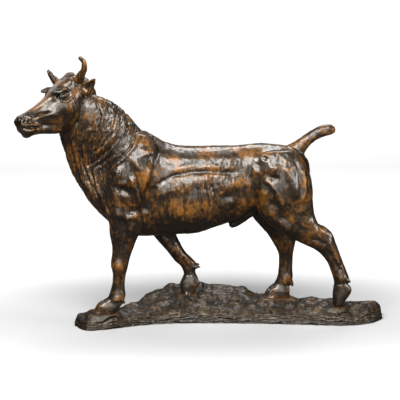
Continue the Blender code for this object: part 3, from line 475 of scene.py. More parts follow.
neckFolds = [
    stroke(-1.7, 1.3, (-92, 196), (-97, 184), (-106, 174), (-115, 167), (-121, 158), (-122, 147), swell=1.3),
    stroke(-1.5, 1.2, (-104, 187), (-113, 177), (-122, 169), (-131, 162), swell=1.2),
    stroke(-1.4, 1.2, (-109, 192), (-119, 180), (-129, 171), (-139, 164), swell=1.1),
    stroke(-1.2, 1.2, (-114, 197), (-124, 185), (-134, 177), swell=1),
    stroke(-1.3, 1.3, (-112, 226), (-106, 214), (-106, 201), (-112, 190), swell=1),
    stroke(-1.3, 1.3, (-102, 216), (-99, 204), (-103, 192), swell=1.1),
    stroke(-1, 1.3, (-121, 228), (-116, 214), (-118, 200), swell=0.8),
    stroke(-0.9, 1.3, (-130, 227), (-126, 213), (-129, 198), swell=0.7),
    stroke(1.4, 2.4, (-136, 201), (-143, 192), (-154, 183)),
    stroke(-1.1, 1.5, (-155, 186), (-152, 166), (-147, 149), (-137, 134), swell=0.9),
    stroke(-1.1, 1.4, (-146, 186), (-144, 166), (-138, 149), (-129, 133), swell=0.9),
    stroke(-1.2, 1.5, (-136, 160), (-132, 141), (-126, 124), (-121, 114), swell=1),
    dab(1.2, (-122, 186), 12, 7, 60),
]
shoulderForms = [
    dab(2.2, (-90, 164), 13, 4.2, -54), dab(2.6, (-110, 157), 9, 5, 66),
    dab(-2.8, (-105, 142), 6, 3.6, -28), dab(1.4, (-107, 149), 3.2, 2.6),
    dab(1.8, (-97, 149), 6, 4, 70), dab(1.6, (-112, 137), 6, 3.4, -75),
    dab(1.6, (-82, 177), 8, 3.6, 27), dab(1.5, (-84, 148), 8, 3.2, 85),
    stroke(1.3, 2, (-99, 156), (-92, 140), (-88, 128)),
    stroke(-1.1, 1.8, (-94, 158), (-90, 144), (-86, 130)),
    stroke(-1.8, 3, (-71, 176), (-73, 167), (-78, 151), (-84, 139), (-87, 121)),
    stroke(-1.8, 4, (-75, 146), (-79, 132), (-84, 118)),
    stroke(1.2, 3, (-113, 120), (-104, 115), (-90, 116)), dab(-1.6, (-97, 120), 4, 3.4),
    dab(2, (-111, 124), 8, 4.4, -80), dab(-1.4, (-103, 128), 7, 2.6, -50),
]
barrelForms = [
    stroke(-0.9, 2.2, (-88, 200), (-76, 193), (-62, 185), (-48, 180)),
    stroke(1, 5, (-70, 170), (-30, 170), (14, 170)),
    stroke(-1.3, 2.4, (-73, 145), (-66, 150), (-57, 154.5), (-40, 158), (-23, 158.5), (-6, 157), (9, 156.5)),
    stroke(0.8, 2.6, (-60, 160), (-40, 163), (-15, 163), (8, 162)),
    stroke(1.3, 5, (-74, 135), (-62, 140), (-48, 145)),
    stroke(0.9, 5, (-48, 144), (-34, 149), (-20, 151)), dab(1.6, (2, 145), 12, 5),
    dab(-1.7, (-5, 133), 7, 4, -10), dab(1.3, (1, 129), 3.4, 3),
    dab(1.4, (13, 127), 10, 3.6, -74), stroke(-0.9, 2, (-60, 133), (-63, 120), (-61, 108)),
    stroke(-0.8, 1.8, (-44, 140), (-46, 126), (-45, 112)),
    stroke(-0.9, 1.4, (-32, 144), (-30, 132), (-28, 116)),
    stroke(-0.9, 1.3, (-26, 146), (-23, 134), (-21, 122)),
    stroke(-0.9, 1.3, (-20, 147), (-16, 135), (-14, 124)), stroke(-0.7, 1.4, (-13, 147), (-9, 138)),
]
haunchForms = [
    dab(2, (34, 171), 9.5, 5, 8), dab(-1.7, (34, 170), 3.4, 2),
    dab(1.8, (24, 158), 4.5, 5), dab(2, (42, 161), 6, 4.4),
    dab(-1.8, (41, 152), 4.6, 2.8, -20), dab(1.9, (31.5, 137), 4.5, 6),
    stroke(1.8, 3.6, (54, 163), (57, 152), (61, 145), (66, 131)),
    stroke(1.4, 3, (33, 150), (38, 146), (43, 141), (47, 134), (50, 127), (53, 118)),
    dab(-1.6, (40, 127), 5, 4),
    stroke(-1.6, 2.6, (19, 165), (20, 154), (21, 147), (25, 133), (29, 119)),
    stroke(1.3, 1.8, (71, 160), (72.5, 150), (73, 139), (70, 128)),
    stroke(-1.5, 2, (63, 170), (66, 160), (68, 152), (69, 132)), dab(-1.2, (67, 103), 7, 3.6, -35),
    stroke(1, 3.4, (36, 120), (48, 107), (60, 98)), dab(-1, (52, 112), 6, 4, -40),
]
faceForms = [
    stroke(-1.3, 1, (-31.6, -5.4), (-28.8, -3.6), (-25.6, -3.4), (-22.6, -5.4), (-20.4, -9)),
    stroke(-1, 0.9, (-31.4, -6), (-29.8, -8.4), (-27.2, -10), (-24, -10.6), (-20.8, -9.8)),
    stroke(1.4, 1.2, (-33.4, -3.8), (-29.4, -1.4), (-25, -1.2), (-21, -3.6), (-18.4, -7.8)),
    stroke(0.9, 1.1, (-32, -8.2), (-28.8, -11.8), (-24.4, -12.8), (-20, -11.8)),
    stroke(1.1, 2.2, (-62, -9.5), (-54, -11), (-47, -14), (-40, -18)),
    stroke(-1, 2.8, (-62, -5.5), (-52, -6.5), (-43, -10)),
    stroke(-0.7, 1.6, (-66, -4), (-52, -4.6), (-40, -4.6)),
    stroke(-0.9, 2.2, (-60, -17), (-52, -22.5), (-44, -28)),
    stroke(1, 2.4, (-63, -22), (-53, -29), (-43, -35)),
    stroke(-1.5, 2.4, (-13, -17), (-16.6, -25), (-22.4, -33), (-30.5, -39)),
    stroke(-2.6, 1.3, (-78, -9.8), (-73.5, -11.2), (-69, -13.4), (-65.2, -16.8), (-63.8, -18.6)),
    stroke(1, 1.1, (-75.5, -7.9), (-71, -9.4), (-66.8, -12.2), (-63, -16)),
    dab(1.3, (-72, -15.4), 4, 1.8, -20),
    stroke(-1, 1.2, (-75.5, -17.4), (-70, -18.8), (-65.5, -20.8)),
    stroke(-3.2, 1.5, (-76.2, -4.6), (-74.2, -3.4), (-71.8, -2.8)),
    stroke(0.8, 1.3, (-77, -1.6), (-72.5, -0.2), (-69.4, -2.6), (-70, -5.4)),
    dab(1.9, (-28, -20), 8.5, 6.5, -60), dab(-1.4, (-47, -7), 13, 5, 4),
    dab(1.3, (-33.4, -5), 3.4, 2.2, 10), dab(0.9, (-58, -9.5), 5, 3, -15),
    stroke(-0.6, 1.2, (-24, -15), (-26, -24), (-30, -32)),
    stroke(-0.5, 1.2, (-19, -12), (-20, -20), (-23, -28)),
]
legForms = {
    -stance: [
        dab(1.5, (-112, 108), 12, 3.4, -84),
        stroke(-1.3, 1.8, (-105, 122), (-104, 106), (-102, 94), (-104, 82)),
        dab(1.3, (-97, 104), 9, 3.2, 80), dab(1.3, (-111, 65), 4, 5),
        dab(1.2, (-113, 32), 4.5, 3.5), dab(-0.9, (-104, 66), 2.5, 6),
        dab(0.9, (112, 50), 4, 4.5), dab(0.9, (60, 37), 4, 4),
        stroke(-0.8, 1.2, (-107.5, 56), (-108.5, 46), (-108, 38)),
        stroke(-0.9, 2, (80, 90), (88, 88), (96, 84)), stroke(0.9, 2.2, (98, 88), (104, 76), (110, 62)),
        stroke(-0.7, 1.6, (97, 78), (105, 66), (111, 56)), dab(1, (112, 42), 4, 5),
    ],
    stance: [
        stroke(-0.9, 2.2, (-74, 112), (-68, 96), (-60, 84)), dab(1, (-58, 77), 8, 3.4, -45),
        stroke(-0.6, 1.5, (-45, 64), (-38, 54)), stroke(-0.9, 2.2, (50, 104), (60, 92), (66, 80)),
        stroke(-0.6, 1.5, (64, 74), (64.5, 60), (64, 46)),
    ],
}

# The lie of the coat on the side view: (x, z, how steeply it lies in degrees, how deep it is in squares)
coat = {
    "guides": [(-119, 228, 94, 0.7), (-107, 219, 98, 0.8), (-136, 217, 64, 0.7), (-104, 201, 60, 0.9),
               (-130, 212, 78, 0.8), (-113, 206, 74, 0.9), (-127, 186, 48, 1.1), (-112, 180, 44, 1.0),
               (-148, 175, 108, 0.6), (-136, 155, 104, 0.7), (-130, 136, 116, 0.7), (-122, 122, 118, 0.5),
               (-117, 161, 58, 0.35), (-97, 172, 125, 0.18), (-81, 168, 92, 0.15), (-100, 140, 110, 0.2),
               (-60, 185, 20, 0.08), (-40, 170, 88, 0.08), (-66, 139, 62, 0.15), (-50, 125, 84, 0.2),
               (-34, 132, 98, 0.4), (-20, 136, 112, 0.4), (-10, 166, 92, 0.1), (5, 145, 84, 0.12),
               (0, 120, 96, 0.1), (22, 166, 70, 0.12), (35, 172, 100, 0.1), (45, 158, 80, 0.12),
               (62, 150, 96, 0.16), (40, 130, 122, 0.16), (55, 110, 132, 0.14), (76, 150, 92, 0.14),
               (90, 92, 140, 0.14), (108, 66, 112, 0.12), (60, 62, 92, 0.1), (-110, 100, 94, 0.16),
               (-110, 60, 90, 0.12), (-62, 92, 122, 0.12), (-40, 60, 110, 0.1), (90, 192, 30, 0.16),
               (112, 40, 90, 0.1), (-118, 30, 60, 0.1)],
    "guideCore": 30.0,      # squares squared round a guide where its say stays level
    "guideFall": 1.5,       # how fast it falls off beyond
    "gridStep": 4.0,        # squares
    "relaxRounds": 1500,
    "lockWidth": 2.2,       # squares across a lock of hair, and below across a hair
    "hairWidth": 0.95,
    "brushWidth": 0.7,      # squares across a brush mark in the patina
    "lockDepth": 0.85,
    "hairDepth": 0.6,
    "stretch": 8.0,         # length of a lock in widths
    "depthStretch": 5.0,    # and how far it runs on across the bull, in widths
    "seed": (3.7, 1.3, 8.1),
}


def coatMap():   # for each square of the side view: across and along the hair, and its depth
    step = coat["gridStep"]
    xs = np.arange(-200.0, 140.0, step)
    zs = np.arange(0.0, 280.0, step)
    x, z = np.meshgrid(xs, zs, indexing="ij")
    guides = np.array(coat["guides"], dtype=float)
    apart = (x[..., None] - guides[:, 0]) ** 2 + (z[..., None] - guides[:, 1]) ** 2
    share = 1.0 / (apart + coat["guideCore"]) ** coat["guideFall"]
    share /= share.sum(axis=-1, keepdims=True)
    doubled = np.radians(2.0 * guides[:, 2])   # a line and its reverse are one direction
    angle = 0.5 * np.arctan2((share * np.sin(doubled)).sum(axis=-1), (share * np.cos(doubled)).sum(axis=-1))
    angle = np.where(angle < 0.0, angle + math.pi, angle)
    depth = (share * guides[:, 3]).sum(axis=-1)
    fields = []
    for fieldX, fieldZ in ((np.sin(angle), -np.cos(angle)), (np.cos(angle), np.sin(angle))):
        flow = x * fieldX.mean() + z * fieldZ.mean()
        source = (np.gradient(fieldX, step, axis=0) + np.gradient(fieldZ, step, axis=1)) * step * step
        for _ in range(coat["relaxRounds"]):   # until the field's slope follows the hair
            edge = np.pad(flow, 1, mode="edge")
            edge[0, 1:-1] = flow[0] - fieldX[0] * step
            edge[-1, 1:-1] = flow[-1] + fieldX[-1] * step
            edge[1:-1, 0] = flow[:, 0] - fieldZ[:, 0] * step
            edge[1:-1, -1] = flow[:, -1] + fieldZ[:, -1] * step
            flow = (edge[:-2, 1:-1] + edge[2:, 1:-1] + edge[1:-1, :-2] + edge[1:-1, 2:] - source) / 4.0
        fields.append(flow)
    return xs, zs, np.stack([*fields, depth], axis=-1)


def sampled(xs, zs, values, points):
    i = (points[:, 0] - xs[0]) / coat["gridStep"]
    j = (points[:, 2] - zs[0]) / coat["gridStep"]
    i = np.clip(i, 0.0, len(xs) - 1.001)
    j = np.clip(j, 0.0, len(zs) - 1.001)
    i0, j0 = i.astype(int), j.astype(int)
    s, t = (i - i0)[:, None], (j - j0)[:, None]
    near = values[i0, j0] * (1.0 - s) + values[i0 + 1, j0] * s
    far = values[i0, j0 + 1] * (1.0 - s) + values[i0 + 1, j0 + 1] * s
    return near * (1.0 - t) + far * t


coatFlow = coatMap()


def coatWeight(points):   # the coat is shorter on the legs and the head, and ends above the hooves
    onHead = headRegion(seenFrom(head, points))
    weight = 0.5 + 0.5 * trunkRegion(points)
    return weight * smoothStep((points[:, 2] - 34.0) / 10.0) * (1.0 - 0.85 * onHead)


def combCoat(form):   # raises locks and hairs that follow the lie of the coat
    places, normals = meshArrays(form.data)
    points = gridPlaces(places)
    across, along, depth = sampled(*coatFlow, points).T
    seed = Vector(coat["seed"])
    layers = []
    for width in (coat["lockWidth"], coat["hairWidth"]):
        u = across / width
        v = along / (width * coat["stretch"])
        w = points[:, 1] / (width * coat["depthStretch"])
        layers.append(np.array([noise.noise(Vector(p) + seed) for p in zip(u, v, w)]))
    locks, hairs = layers
    height = (coat["lockDepth"] * locks + coat["hairDepth"] * hairs) * depth * coatWeight(points)
    setPlaces(form, places + normals * (height * square)[:, None])


def cupEars(form):
    places, normals = meshArrays(form.data)
    mark = stroke(-2.6, 3.8, (-142, 237.5), (-136, 243), (-132.5, 246.5))
    for place in (body, farSideOfHead):
        points = gridPlaces(places, place)
        weight = smoothStep((-sideFacing(normals, place) - 0.3) / 0.3) * (points[:, 1] < -18.5)
        places += normals * (strokeHeight(points[:, (0, 2)], mark) * weight * square)[:, None]
    setPlaces(form, places)


def flattenSoles(form):
    places, _ = meshArrays(form.data)
    x, y, z = gridPlaces(places).T
    for hoof in hooves:
        (toeX, soleZ), (heelX, _) = hoof["sole"]
        around = (x > toeX - 8.0) & (x < heelX + 8.0) & (np.abs(y - hoof["y"]) < 14.0)
        places[around & (z < soleZ + 0.7), 2] = onGrid((0.0, 0.0, soleZ)).z
    setPlaces(form, places)


# Tool marks: the skin is moved along its normals by a noise of the tool's size
toolMarks = {
    "markSize": 0.0055,
    "markDepth": 0.00050,
    "fleckSize": 0.0018,
    "fleckDepth": 0.00016,
    "seed": 3.0,
}
bodyShare = 4.0         # of those depths on the body: the noise keeps well inside its range
headShare = 0.8         # and on the head


def addInput(tree, name, kind, value):
    socket = tree.interface.new_socket(name, in_out="INPUT", socket_type=kind)
    if value is not None:
        socket.default_value = value
    return socket.identifier


def link(tree, start, end):
    tree.links.new(start, end)


def mathNode(tree, operation, first, second=None, third=None):
    node = tree.nodes.new("ShaderNodeMath")
    node.operation = operation
    for i, value in enumerate((first, second, third)):
        if isinstance(value, float):
            node.inputs[i].default_value = value
        elif value is not None:
            link(tree, value, node.inputs[i])
    return node.outputs[0]


def toolMarkTree():
    tree = bpy.data.node_groups.new("toolMarks", "GeometryNodeTree")
    tree.interface.new_socket("Geometry", in_out="INPUT", socket_type="NodeSocketGeometry")
    ids = {}
    for name, value in toolMarks.items():
        ids[name] = addInput(tree, name, "NodeSocketFloat", value)
    ids["finish"] = addInput(tree, "finish", "NodeSocketMaterial", None)
    tree.interface.new_socket("Geometry", in_out="OUTPUT", socket_type="NodeSocketGeometry")
    source = tree.nodes.new("NodeGroupInput")
    result = tree.nodes.new("NodeGroupOutput")
    position = tree.nodes.new("GeometryNodeInputPosition")
    normal = tree.nodes.new("GeometryNodeInputNormal")
    depths = []
    for size, depth in (("markSize", "markDepth"), ("fleckSize", "fleckDepth")):
        grain = tree.nodes.new("ShaderNodeTexNoise")
        grain.noise_dimensions = "4D"
        grain.inputs["Detail"].default_value = 2.0
        link(tree, position.outputs[0], grain.inputs["Vector"])
        link(tree, source.outputs["seed"], grain.inputs["W"])
        link(tree, mathNode(tree, "DIVIDE", 1.0, source.outputs[size]), grain.inputs["Scale"])
        centred = mathNode(tree, "SUBTRACT", grain.outputs["Fac"], 0.5)
        depths.append(mathNode(tree, "MULTIPLY", centred, source.outputs[depth]))
    share = tree.nodes.new("GeometryNodeInputNamedAttribute")
    share.data_type = "FLOAT"
    share.inputs["Name"].default_value = "toolShare"
    strength = mathNode(tree, "MULTIPLY", mathNode(tree, "ADD", *depths), share.outputs["Attribute"])
    push = tree.nodes.new("ShaderNodeVectorMath")
    push.operation = "SCALE"
    link(tree, normal.outputs[0], push.inputs[0])
    link(tree, strength, push.inputs["Scale"])
    move = tree.nodes.new("GeometryNodeSetPosition")
    link(tree, source.outputs["Geometry"], move.inputs["Geometry"])
    link(tree, push.outputs[0], move.inputs["Offset"])
    realize = tree.nodes.new("GeometryNodeRealizeInstances")
    link(tree, move.outputs[0], realize.inputs[0])
    paint = tree.nodes.new("GeometryNodeSetMaterial")
    link(tree, realize.outputs[0], paint.inputs["Geometry"])
    link(tree, source.outputs["finish"], paint.inputs["Material"])
    link(tree, paint.outputs[0], result.inputs[0])
    return tree, ids


def storeValues(form, name, values):
    attribute = form.data.attributes.new(name, "FLOAT", "POINT")
    attribute.data.foreach_set("value", values.astype(np.float32))


def tooled(form, finish):
    places, _ = meshArrays(form.data)
    onHead = headRegion(gridPlaces(places, head))
    storeValues(form, "toolShare", bodyShare + (headShare - bodyShare) * onHead)
    tree, ids = toolMarkTree()
    modifier = form.modifiers.new("toolMarks", "NODES")
    modifier.node_group = tree
    for name, value in toolMarks.items():
        modifier[ids[name]] = value
    modifier[ids["finish"]] = finish
    return applied(form)


def evened(values, a, b, rounds):   # each vertex takes its neighbours' average, round after round
    size = len(values)
    count = np.bincount(a, minlength=size) + np.bincount(b, minlength=size)
    for _ in range(rounds):
        values = (np.bincount(a, weights=values[b], minlength=size)
                  + np.bincount(b, weights=values[a], minlength=size)) / count
    return values


# How far each point stands proud of the smoothed skin around it, stored for the patina. More rounds look at
# wider forms, and the scale is the height in metres that counts as 1.
def storeReliefs(form, reliefs):
    mesh = form.data
    places, normals = meshArrays(mesh)
    edges = np.empty(len(mesh.edges) * 2, dtype=np.int64)
    mesh.edges.foreach_get("vertices", edges)
    a, b = edges.reshape(-1, 2).T
    for name, (rounds, scale) in reliefs.items():
        smooth = np.stack([evened(places[:, axis], a, b, rounds) for axis in range(3)], axis=1)
        proud = np.einsum("ij,ij->i", places - smooth, normals)
        proud = (proud - evened(proud, a, b, rounds)) / scale   # thin limbs would stand proud all round
        storeValues(form, name, np.clip(proud, -1.0, 1.0))


def storeCoat(form):   # for the patina: where each point lies among the hairs, and how deep they are there
    places, _ = meshArrays(form.data)
    points = gridPlaces(places)
    across, along, depth = sampled(*coatFlow, points).T
    width = coat["brushWidth"]
    lie = [across / width, along / (width * coat["stretch"]), points[:, 1] / (width * coat["depthStretch"])]
    attribute = form.data.attributes.new("lie", "FLOAT_VECTOR", "POINT")
    attribute.data.foreach_set("vector", np.stack(lie, axis=1).astype(np.float32).ravel())
    storeValues(form, "coatDepth", depth * coatWeight(points))


# The patina, shared by both bronzes: near black in the hollows, brown on the skin, amber where it is rubbed
patina = {
    "hollow": (0.002, 0.0012, 0.0008, 1.0),
    "skin": (0.008, 0.0045, 0.0024, 1.0),
    "rubbed": (0.27, 0.105, 0.014, 1.0),
    "mottleScale": 5.0,     # mottles to a blotch
    "fleckScale": 900.0,    # flecks to a metre
    "rubbedFrom": (0.435, 0.87),    # where the amber sets in and where it is full
    "waxedFrom": (0.40, 0.60),      # the same for the wax
}
patinaInputs = {
    "NodeSocketVector": ("Place", "Lie"),
    "NodeSocketColor": ("Hollow", "Skin", "Rubbed"),
    "NodeSocketFloat": ("Coat depth", "Fine relief", "Broad relief", "Wear and shade", "Rub", "Bare metal",
                        "Blotch size", "Gloss low", "Gloss high", "Thin wax", "Full wax"),
}
patinaOutputs = {
    "NodeSocketColor": ("Colour",),
    "NodeSocketFloat": ("Roughness", "Metallic", "Wax", "Height"),
}
patinaAttributes = {"Fine relief": "fineRelief", "Broad relief": "broadRelief", "Coat depth": "coatDepth",
                    "Wear and shade": "wearAndShade", "Lie": "lie"}


# On the side view, where the patina is worn to the amber (above 0) and where it stays dark (below), and
# painted shade under the belly
wearAndShadeMarks = [
    dab(0.8, (-163, 247), 9, 3, 32), dab(1, (-168, 206), 9, 5), dab(-0.9, (-208, 206), 11, 10),
    dab(-1.2, (-168, 238), 7, 4), dab(-0.9, (-166, 223), 10, 9), dab(-1, (-185, 192), 20, 5),
    dab(0.9, (-150, 169), 22, 7, -63), dab(0.7, (-113, 205), 9, 9), dab(0.9, (-46, 122), 28, 9),
    dab(0.9, (-40, 161), 32, 4), dab(0.6, (-87, 155), 9, 12), dab(0.8, (-84, 189), 12, 5, -20),
    dab(0.9, (25, 179), 32, 4), dab(0.9, (72, 145), 5, 22), dab(0.9, (22, 125), 10, 6, 20),
    # dab(-1.6, (-35, 101), 62, 11, 2) keeps the belly's underside dark: painted shade
    dab(0.7, (60, 110), 15, 8, -50), dab(-1.6, (-35, 101), 62, 11, 2), dab(0.9, (-110, 66), 4, 6),
    dab(0.8, (98, 84), 10, 4, -45), dab(-0.5, (-118, 26), 18, 9), dab(-0.5, (112, 24), 12, 12),
    dab(-0.6, (-38, 38), 12, 10), dab(-0.6, (55, 28), 15, 9), dab(0.9, (-140, 263), 4, 5),
    dab(0.3, (-137, 241), 5, 8, 60), dab(0.8, (100, 190), 14, 5, 30), dab(-0.8, (-120, 140), 7, 14),
    dab(-0.9, (-120, 190), 24, 30, -50), dab(-0.5, (-143, 250), 5, 7), dab(-0.2, (-104, 66), 12, 45),
    dab(0.7, (-181, 222), 10, 5, 32),
]


def storeWearAndShade(form):
    places, _ = meshArrays(form.data)
    flat = gridPlaces(places)[:, (0, 2)]
    wearAndShade = np.zeros(len(flat))
    for mark in wearAndShadeMarks:
        wearAndShade += dabHeight(flat, mark)
    storeValues(form, "wearAndShade", wearAndShade)


def rampNode(tree, value, low, high):
    node = tree.nodes.new("ShaderNodeMapRange")
    node.interpolation_type = "SMOOTHSTEP"
    link(tree, value, node.inputs["Value"])
    node.inputs["From Min"].default_value = low
    node.inputs["From Max"].default_value = high
    return node.outputs["Result"]


def mixColours(tree, share, first, second):
    node = tree.nodes.new("ShaderNodeMix")
    node.data_type = "RGBA"
    link(tree, share, node.inputs["Factor"])
    link(tree, first, node.inputs[6])
    link(tree, second, node.inputs[7])
    return node.outputs[2]


def noiseNode(tree, place, scale, detail=3.0, roughness=0.5):
    node = tree.nodes.new("ShaderNodeTexNoise")
    link(tree, place, node.inputs["Vector"])
    if isinstance(scale, float):
        node.inputs["Scale"].default_value = scale
    else:
        link(tree, scale, node.inputs["Scale"])
    node.inputs["Detail"].default_value = detail
    node.inputs["Roughness"].default_value = roughness
    return node.outputs["Fac"]


def weighed(tree, *terms):   # the sum of (value, share) pairs
    total = 0.0
    for value, share in terms:
        total = mathNode(tree, "MULTIPLY_ADD", value, share, total)
    return total


def patinaGroup():
    tree = bpy.data.node_groups.new("patina", "ShaderNodeTree")
    for side, sockets in (("INPUT", patinaInputs), ("OUTPUT", patinaOutputs)):
        for kind, names in sockets.items():
            for name in names:
                tree.interface.new_socket(name, in_out=side, socket_type=kind)
    source = tree.nodes.new("NodeGroupInput").outputs
    result = tree.nodes.new("NodeGroupOutput").inputs
    place = source["Place"]
    broadScale = mathNode(tree, "DIVIDE", 1.0, source["Blotch size"])
    fineScale = mathNode(tree, "MULTIPLY", broadScale, patina["mottleScale"])
    blotch = noiseNode(tree, place, broadScale, 2.0, 0.45)
    mottle = noiseNode(tree, place, fineScale, 3.0, 0.6)
    fleck = noiseNode(tree, place, patina["fleckScale"], 2.0, 0.6)
    hair = mathNode(tree, "SUBTRACT", noiseNode(tree, source["Lie"], 1.0, 2.0, 0.6), 0.5)
    hair = mathNode(tree, "MULTIPLY", hair, mathNode(tree, "ADD", source["Coat depth"], 0.10))
    relief = weighed(tree, (source["Fine relief"], 0.55), (source["Broad relief"], 0.45))
    # the wear input also carries painted shade under the belly
    rubbing = weighed(tree, (blotch, 0.62), (mottle, 0.38), (relief, 0.24), (hair, 0.8),
                      (source["Wear and shade"], 0.14))
    rubbed = mathNode(tree, "MULTIPLY", rampNode(tree, rubbing, *patina["rubbedFrom"]), source["Rub"])
    rubbed = mathNode(tree, "MULTIPLY", rubbed, rampNode(tree, fleck, 0.1, 0.55))
    link(tree, mathNode(tree, "MULTIPLY", rubbed, source["Bare metal"]), result["Metallic"])
    sunken = rampNode(tree, mathNode(tree, "MULTIPLY", relief, -1.0), 0.0, 0.9)
    skin = mixColours(tree, sunken, source["Skin"], source["Hollow"])
    link(tree, mixColours(tree, rubbed, skin, source["Rubbed"]), result["Colour"])
    spread = mathNode(tree, "SUBTRACT", source["Gloss high"], source["Gloss low"])
    dull = weighed(tree, (mottle, 0.6), (sunken, 0.3), (rubbed, 0.6))
    link(tree, mathNode(tree, "MULTIPLY_ADD", spread, dull, source["Gloss low"]), result["Roughness"])
    brushed = rampNode(tree, weighed(tree, (mottle, 0.6), (fleck, 0.4), (hair, 0.4)), *patina["waxedFrom"])
    spread = mathNode(tree, "SUBTRACT", source["Full wax"], source["Thin wax"])
    link(tree, mathNode(tree, "MULTIPLY_ADD", spread, brushed, source["Thin wax"]), result["Wax"])
    link(tree, weighed(tree, (mottle, 0.6), (fleck, 0.35), (hair, 1.6)), result["Height"])
    return tree


patinaTree = patinaGroup()


def newMaterial(name):
    material = bpy.data.materials.new(name)
    material.use_nodes = True
    return material, material.node_tree, material.node_tree.nodes["Principled BSDF"]


def bronze(name, settings):
    material, tree, shader = newMaterial(name)
    group = tree.nodes.new("ShaderNodeGroup")
    group.node_tree = patinaTree
    coordinates = tree.nodes.new("ShaderNodeTexCoord")
    link(tree, coordinates.outputs["Object"], group.inputs["Place"])
    for socket, attribute in patinaAttributes.items():
        node = tree.nodes.new("ShaderNodeAttribute")
        node.attribute_name = attribute
        link(tree, node.outputs["Vector" if socket == "Lie" else "Fac"], group.inputs[socket])
    for socket, value in settings["patina"].items():
        group.inputs[socket].default_value = value
    for output, socket in (("Colour", "Base Color"), ("Roughness", "Roughness"), ("Metallic", "Metallic"),
                           ("Wax", "Coat Weight")):
        link(tree, group.outputs[output], shader.inputs[socket])
    bump = tree.nodes.new("ShaderNodeBump")
    bump.inputs["Strength"].default_value = settings["bumpStrength"]
    bump.inputs["Distance"].default_value = settings["bumpDistance"]
    link(tree, group.outputs["Height"], bump.inputs["Height"])
    link(tree, bump.outputs["Normal"], shader.inputs["Normal"])
    shader.inputs["Specular IOR Level"].default_value = settings["sheenLevel"]
    shader.inputs["Specular Tint"].default_value = settings["sheen"]
    shader.inputs["Coat Roughness"].default_value = settings["waxRoughness"]
    return material


figureBronze = bronze("figureBronze", {
    "patina": {"Hollow": patina["hollow"], "Skin": patina["skin"], "Rubbed": patina["rubbed"], "Rub": 1.0,
               "Bare metal": 0.35, "Blotch size": 0.022, "Gloss low": 0.26, "Gloss high": 0.54,
               "Thin wax": 0.45, "Full wax": 1.0},
    "bumpStrength": 1.0, "bumpDistance": 0.0011, "sheen": (1.0, 0.82, 0.60, 1.0), "sheenLevel": 0.45,
    "waxRoughness": 0.18})
baseBronze = bronze("baseBronze", {
    "patina": {"Hollow": patina["hollow"], "Skin": (0.009, 0.0065, 0.0045, 1.0),
               "Rubbed": (0.13, 0.070, 0.028, 1.0), "Rub": 0.7,
               "Bare metal": 0.2, "Blotch size": 0.020, "Gloss low": 0.32, "Gloss high": 0.60,
               "Thin wax": 0.05, "Full wax": 0.4},
    "bumpStrength": 0.9, "bumpDistance": 0.0012, "sheen": (1.0, 0.84, 0.64, 1.0), "sheenLevel": 0.35,
    "waxRoughness": 0.24})


def makeBull():
    masses = fused(trunk(), bullForm["masses"])
    limbs = [loft(leg, squareness=2.2) for leg in legs.values()]
    figure = fused([masses, *limbs, *dewclaws(), tail(), *underline(), *skull()], bullForm["limbs"])
    claws = [claw for hoof in hooves for claw in hoofClaws(hoof)]
    (eyeX, eyeY, eyeZ), radii, lean = bullForm["eye"]
    eyes = [ball((eyeX, side * eyeY, eyeZ), radii, head, lean) for side in (-1.0, 1.0)]
    figure = fused([figure, *eyes, *claws, *horns(), ear(body), ear(farSideOfHead)], bullForm["skin"])
    print("bull fused:", len(figure.data.polygons), "faces")
    carve(figure, neckFolds + shoulderForms + barrelForms + haunchForms, trunkRegion)
    for middle, forms in legForms.items():
        carve(figure, forms, legRegion(middle))
    carve(figure, faceForms, headRegion, head)
    cupEars(figure)
    combCoat(figure)
    print("bull carved")
    figure = tooled(thinned(figure, bullForm["triangles"]), figureBronze)
    flattenSoles(figure)
    storeReliefs(figure, bullForm["reliefs"])
    storeCoat(figure)
    storeWearAndShade(figure)
    return figure


bull = makeBull()
print("bull finished:", len(bull.data.polygons), "triangles")

groundLow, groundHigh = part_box("ground_base")
groundForm = {
    "rimSpread": (0.0047, 0.0048),   # what the flare and the lumps of the rim add to length and depth, m
    "planMiddle": (1.8, 9.0),        # squares
    "slabHalf": 0.0215,     # m, half the height of the slab that the top is shaped from
    "rimFlare": 0.004,      # m
    "level": 18.0,          # squares, the height of the flat parts
    "knolls": [(7.5, -38.0, 16.0, 22.0, 22.0), (5.5, -50.0, -32.0, 15.0, 14.0)],   # (height, x, y, spreads)
    "roundedRim": 5.0,      # squares
    "fineness": (0.62, 14),     # voxel in squares and rounds of smoothing
    "triangles": 120000,
    "seatGap": 0.0003,      # m between a sole and its print
    "reliefs": {"fineRelief": (6, 0.00045), "broadRelief": (40, 0.0018)},
    "rimLumps": (90.0, 0.8),        # lumps to a metre, and squares proud
    "rimLayers": (45.0, 420.0, 0.9),    # layers along the rim and up it to a metre, and squares proud
    "clods": [(0.024, 0.0066), (0.010, 0.0016), (0.0035, 0.0003)],   # (size, height) of the earth, m
}
plan = [(-1.00, -0.46), (-0.97, -0.75), (-0.91, -0.93), (-0.76, -0.83), (-0.61, -0.65), (-0.42, -0.55),
        (-0.19, -0.56), (0.09, -0.66), (0.38, -0.81), (0.66, -0.98), (0.83, -0.95), (0.95, -0.72),
        (1.00, -0.42), (0.95, -0.18), (0.76, 0.10), (0.54, 0.28), (0.38, 0.46), (0.24, 0.66), (0.10, 0.88),
        (-0.10, 0.96), (-0.32, 0.98), (-0.49, 0.72), (-0.63, 0.30), (-0.80, 0.02), (-0.92, -0.12)]


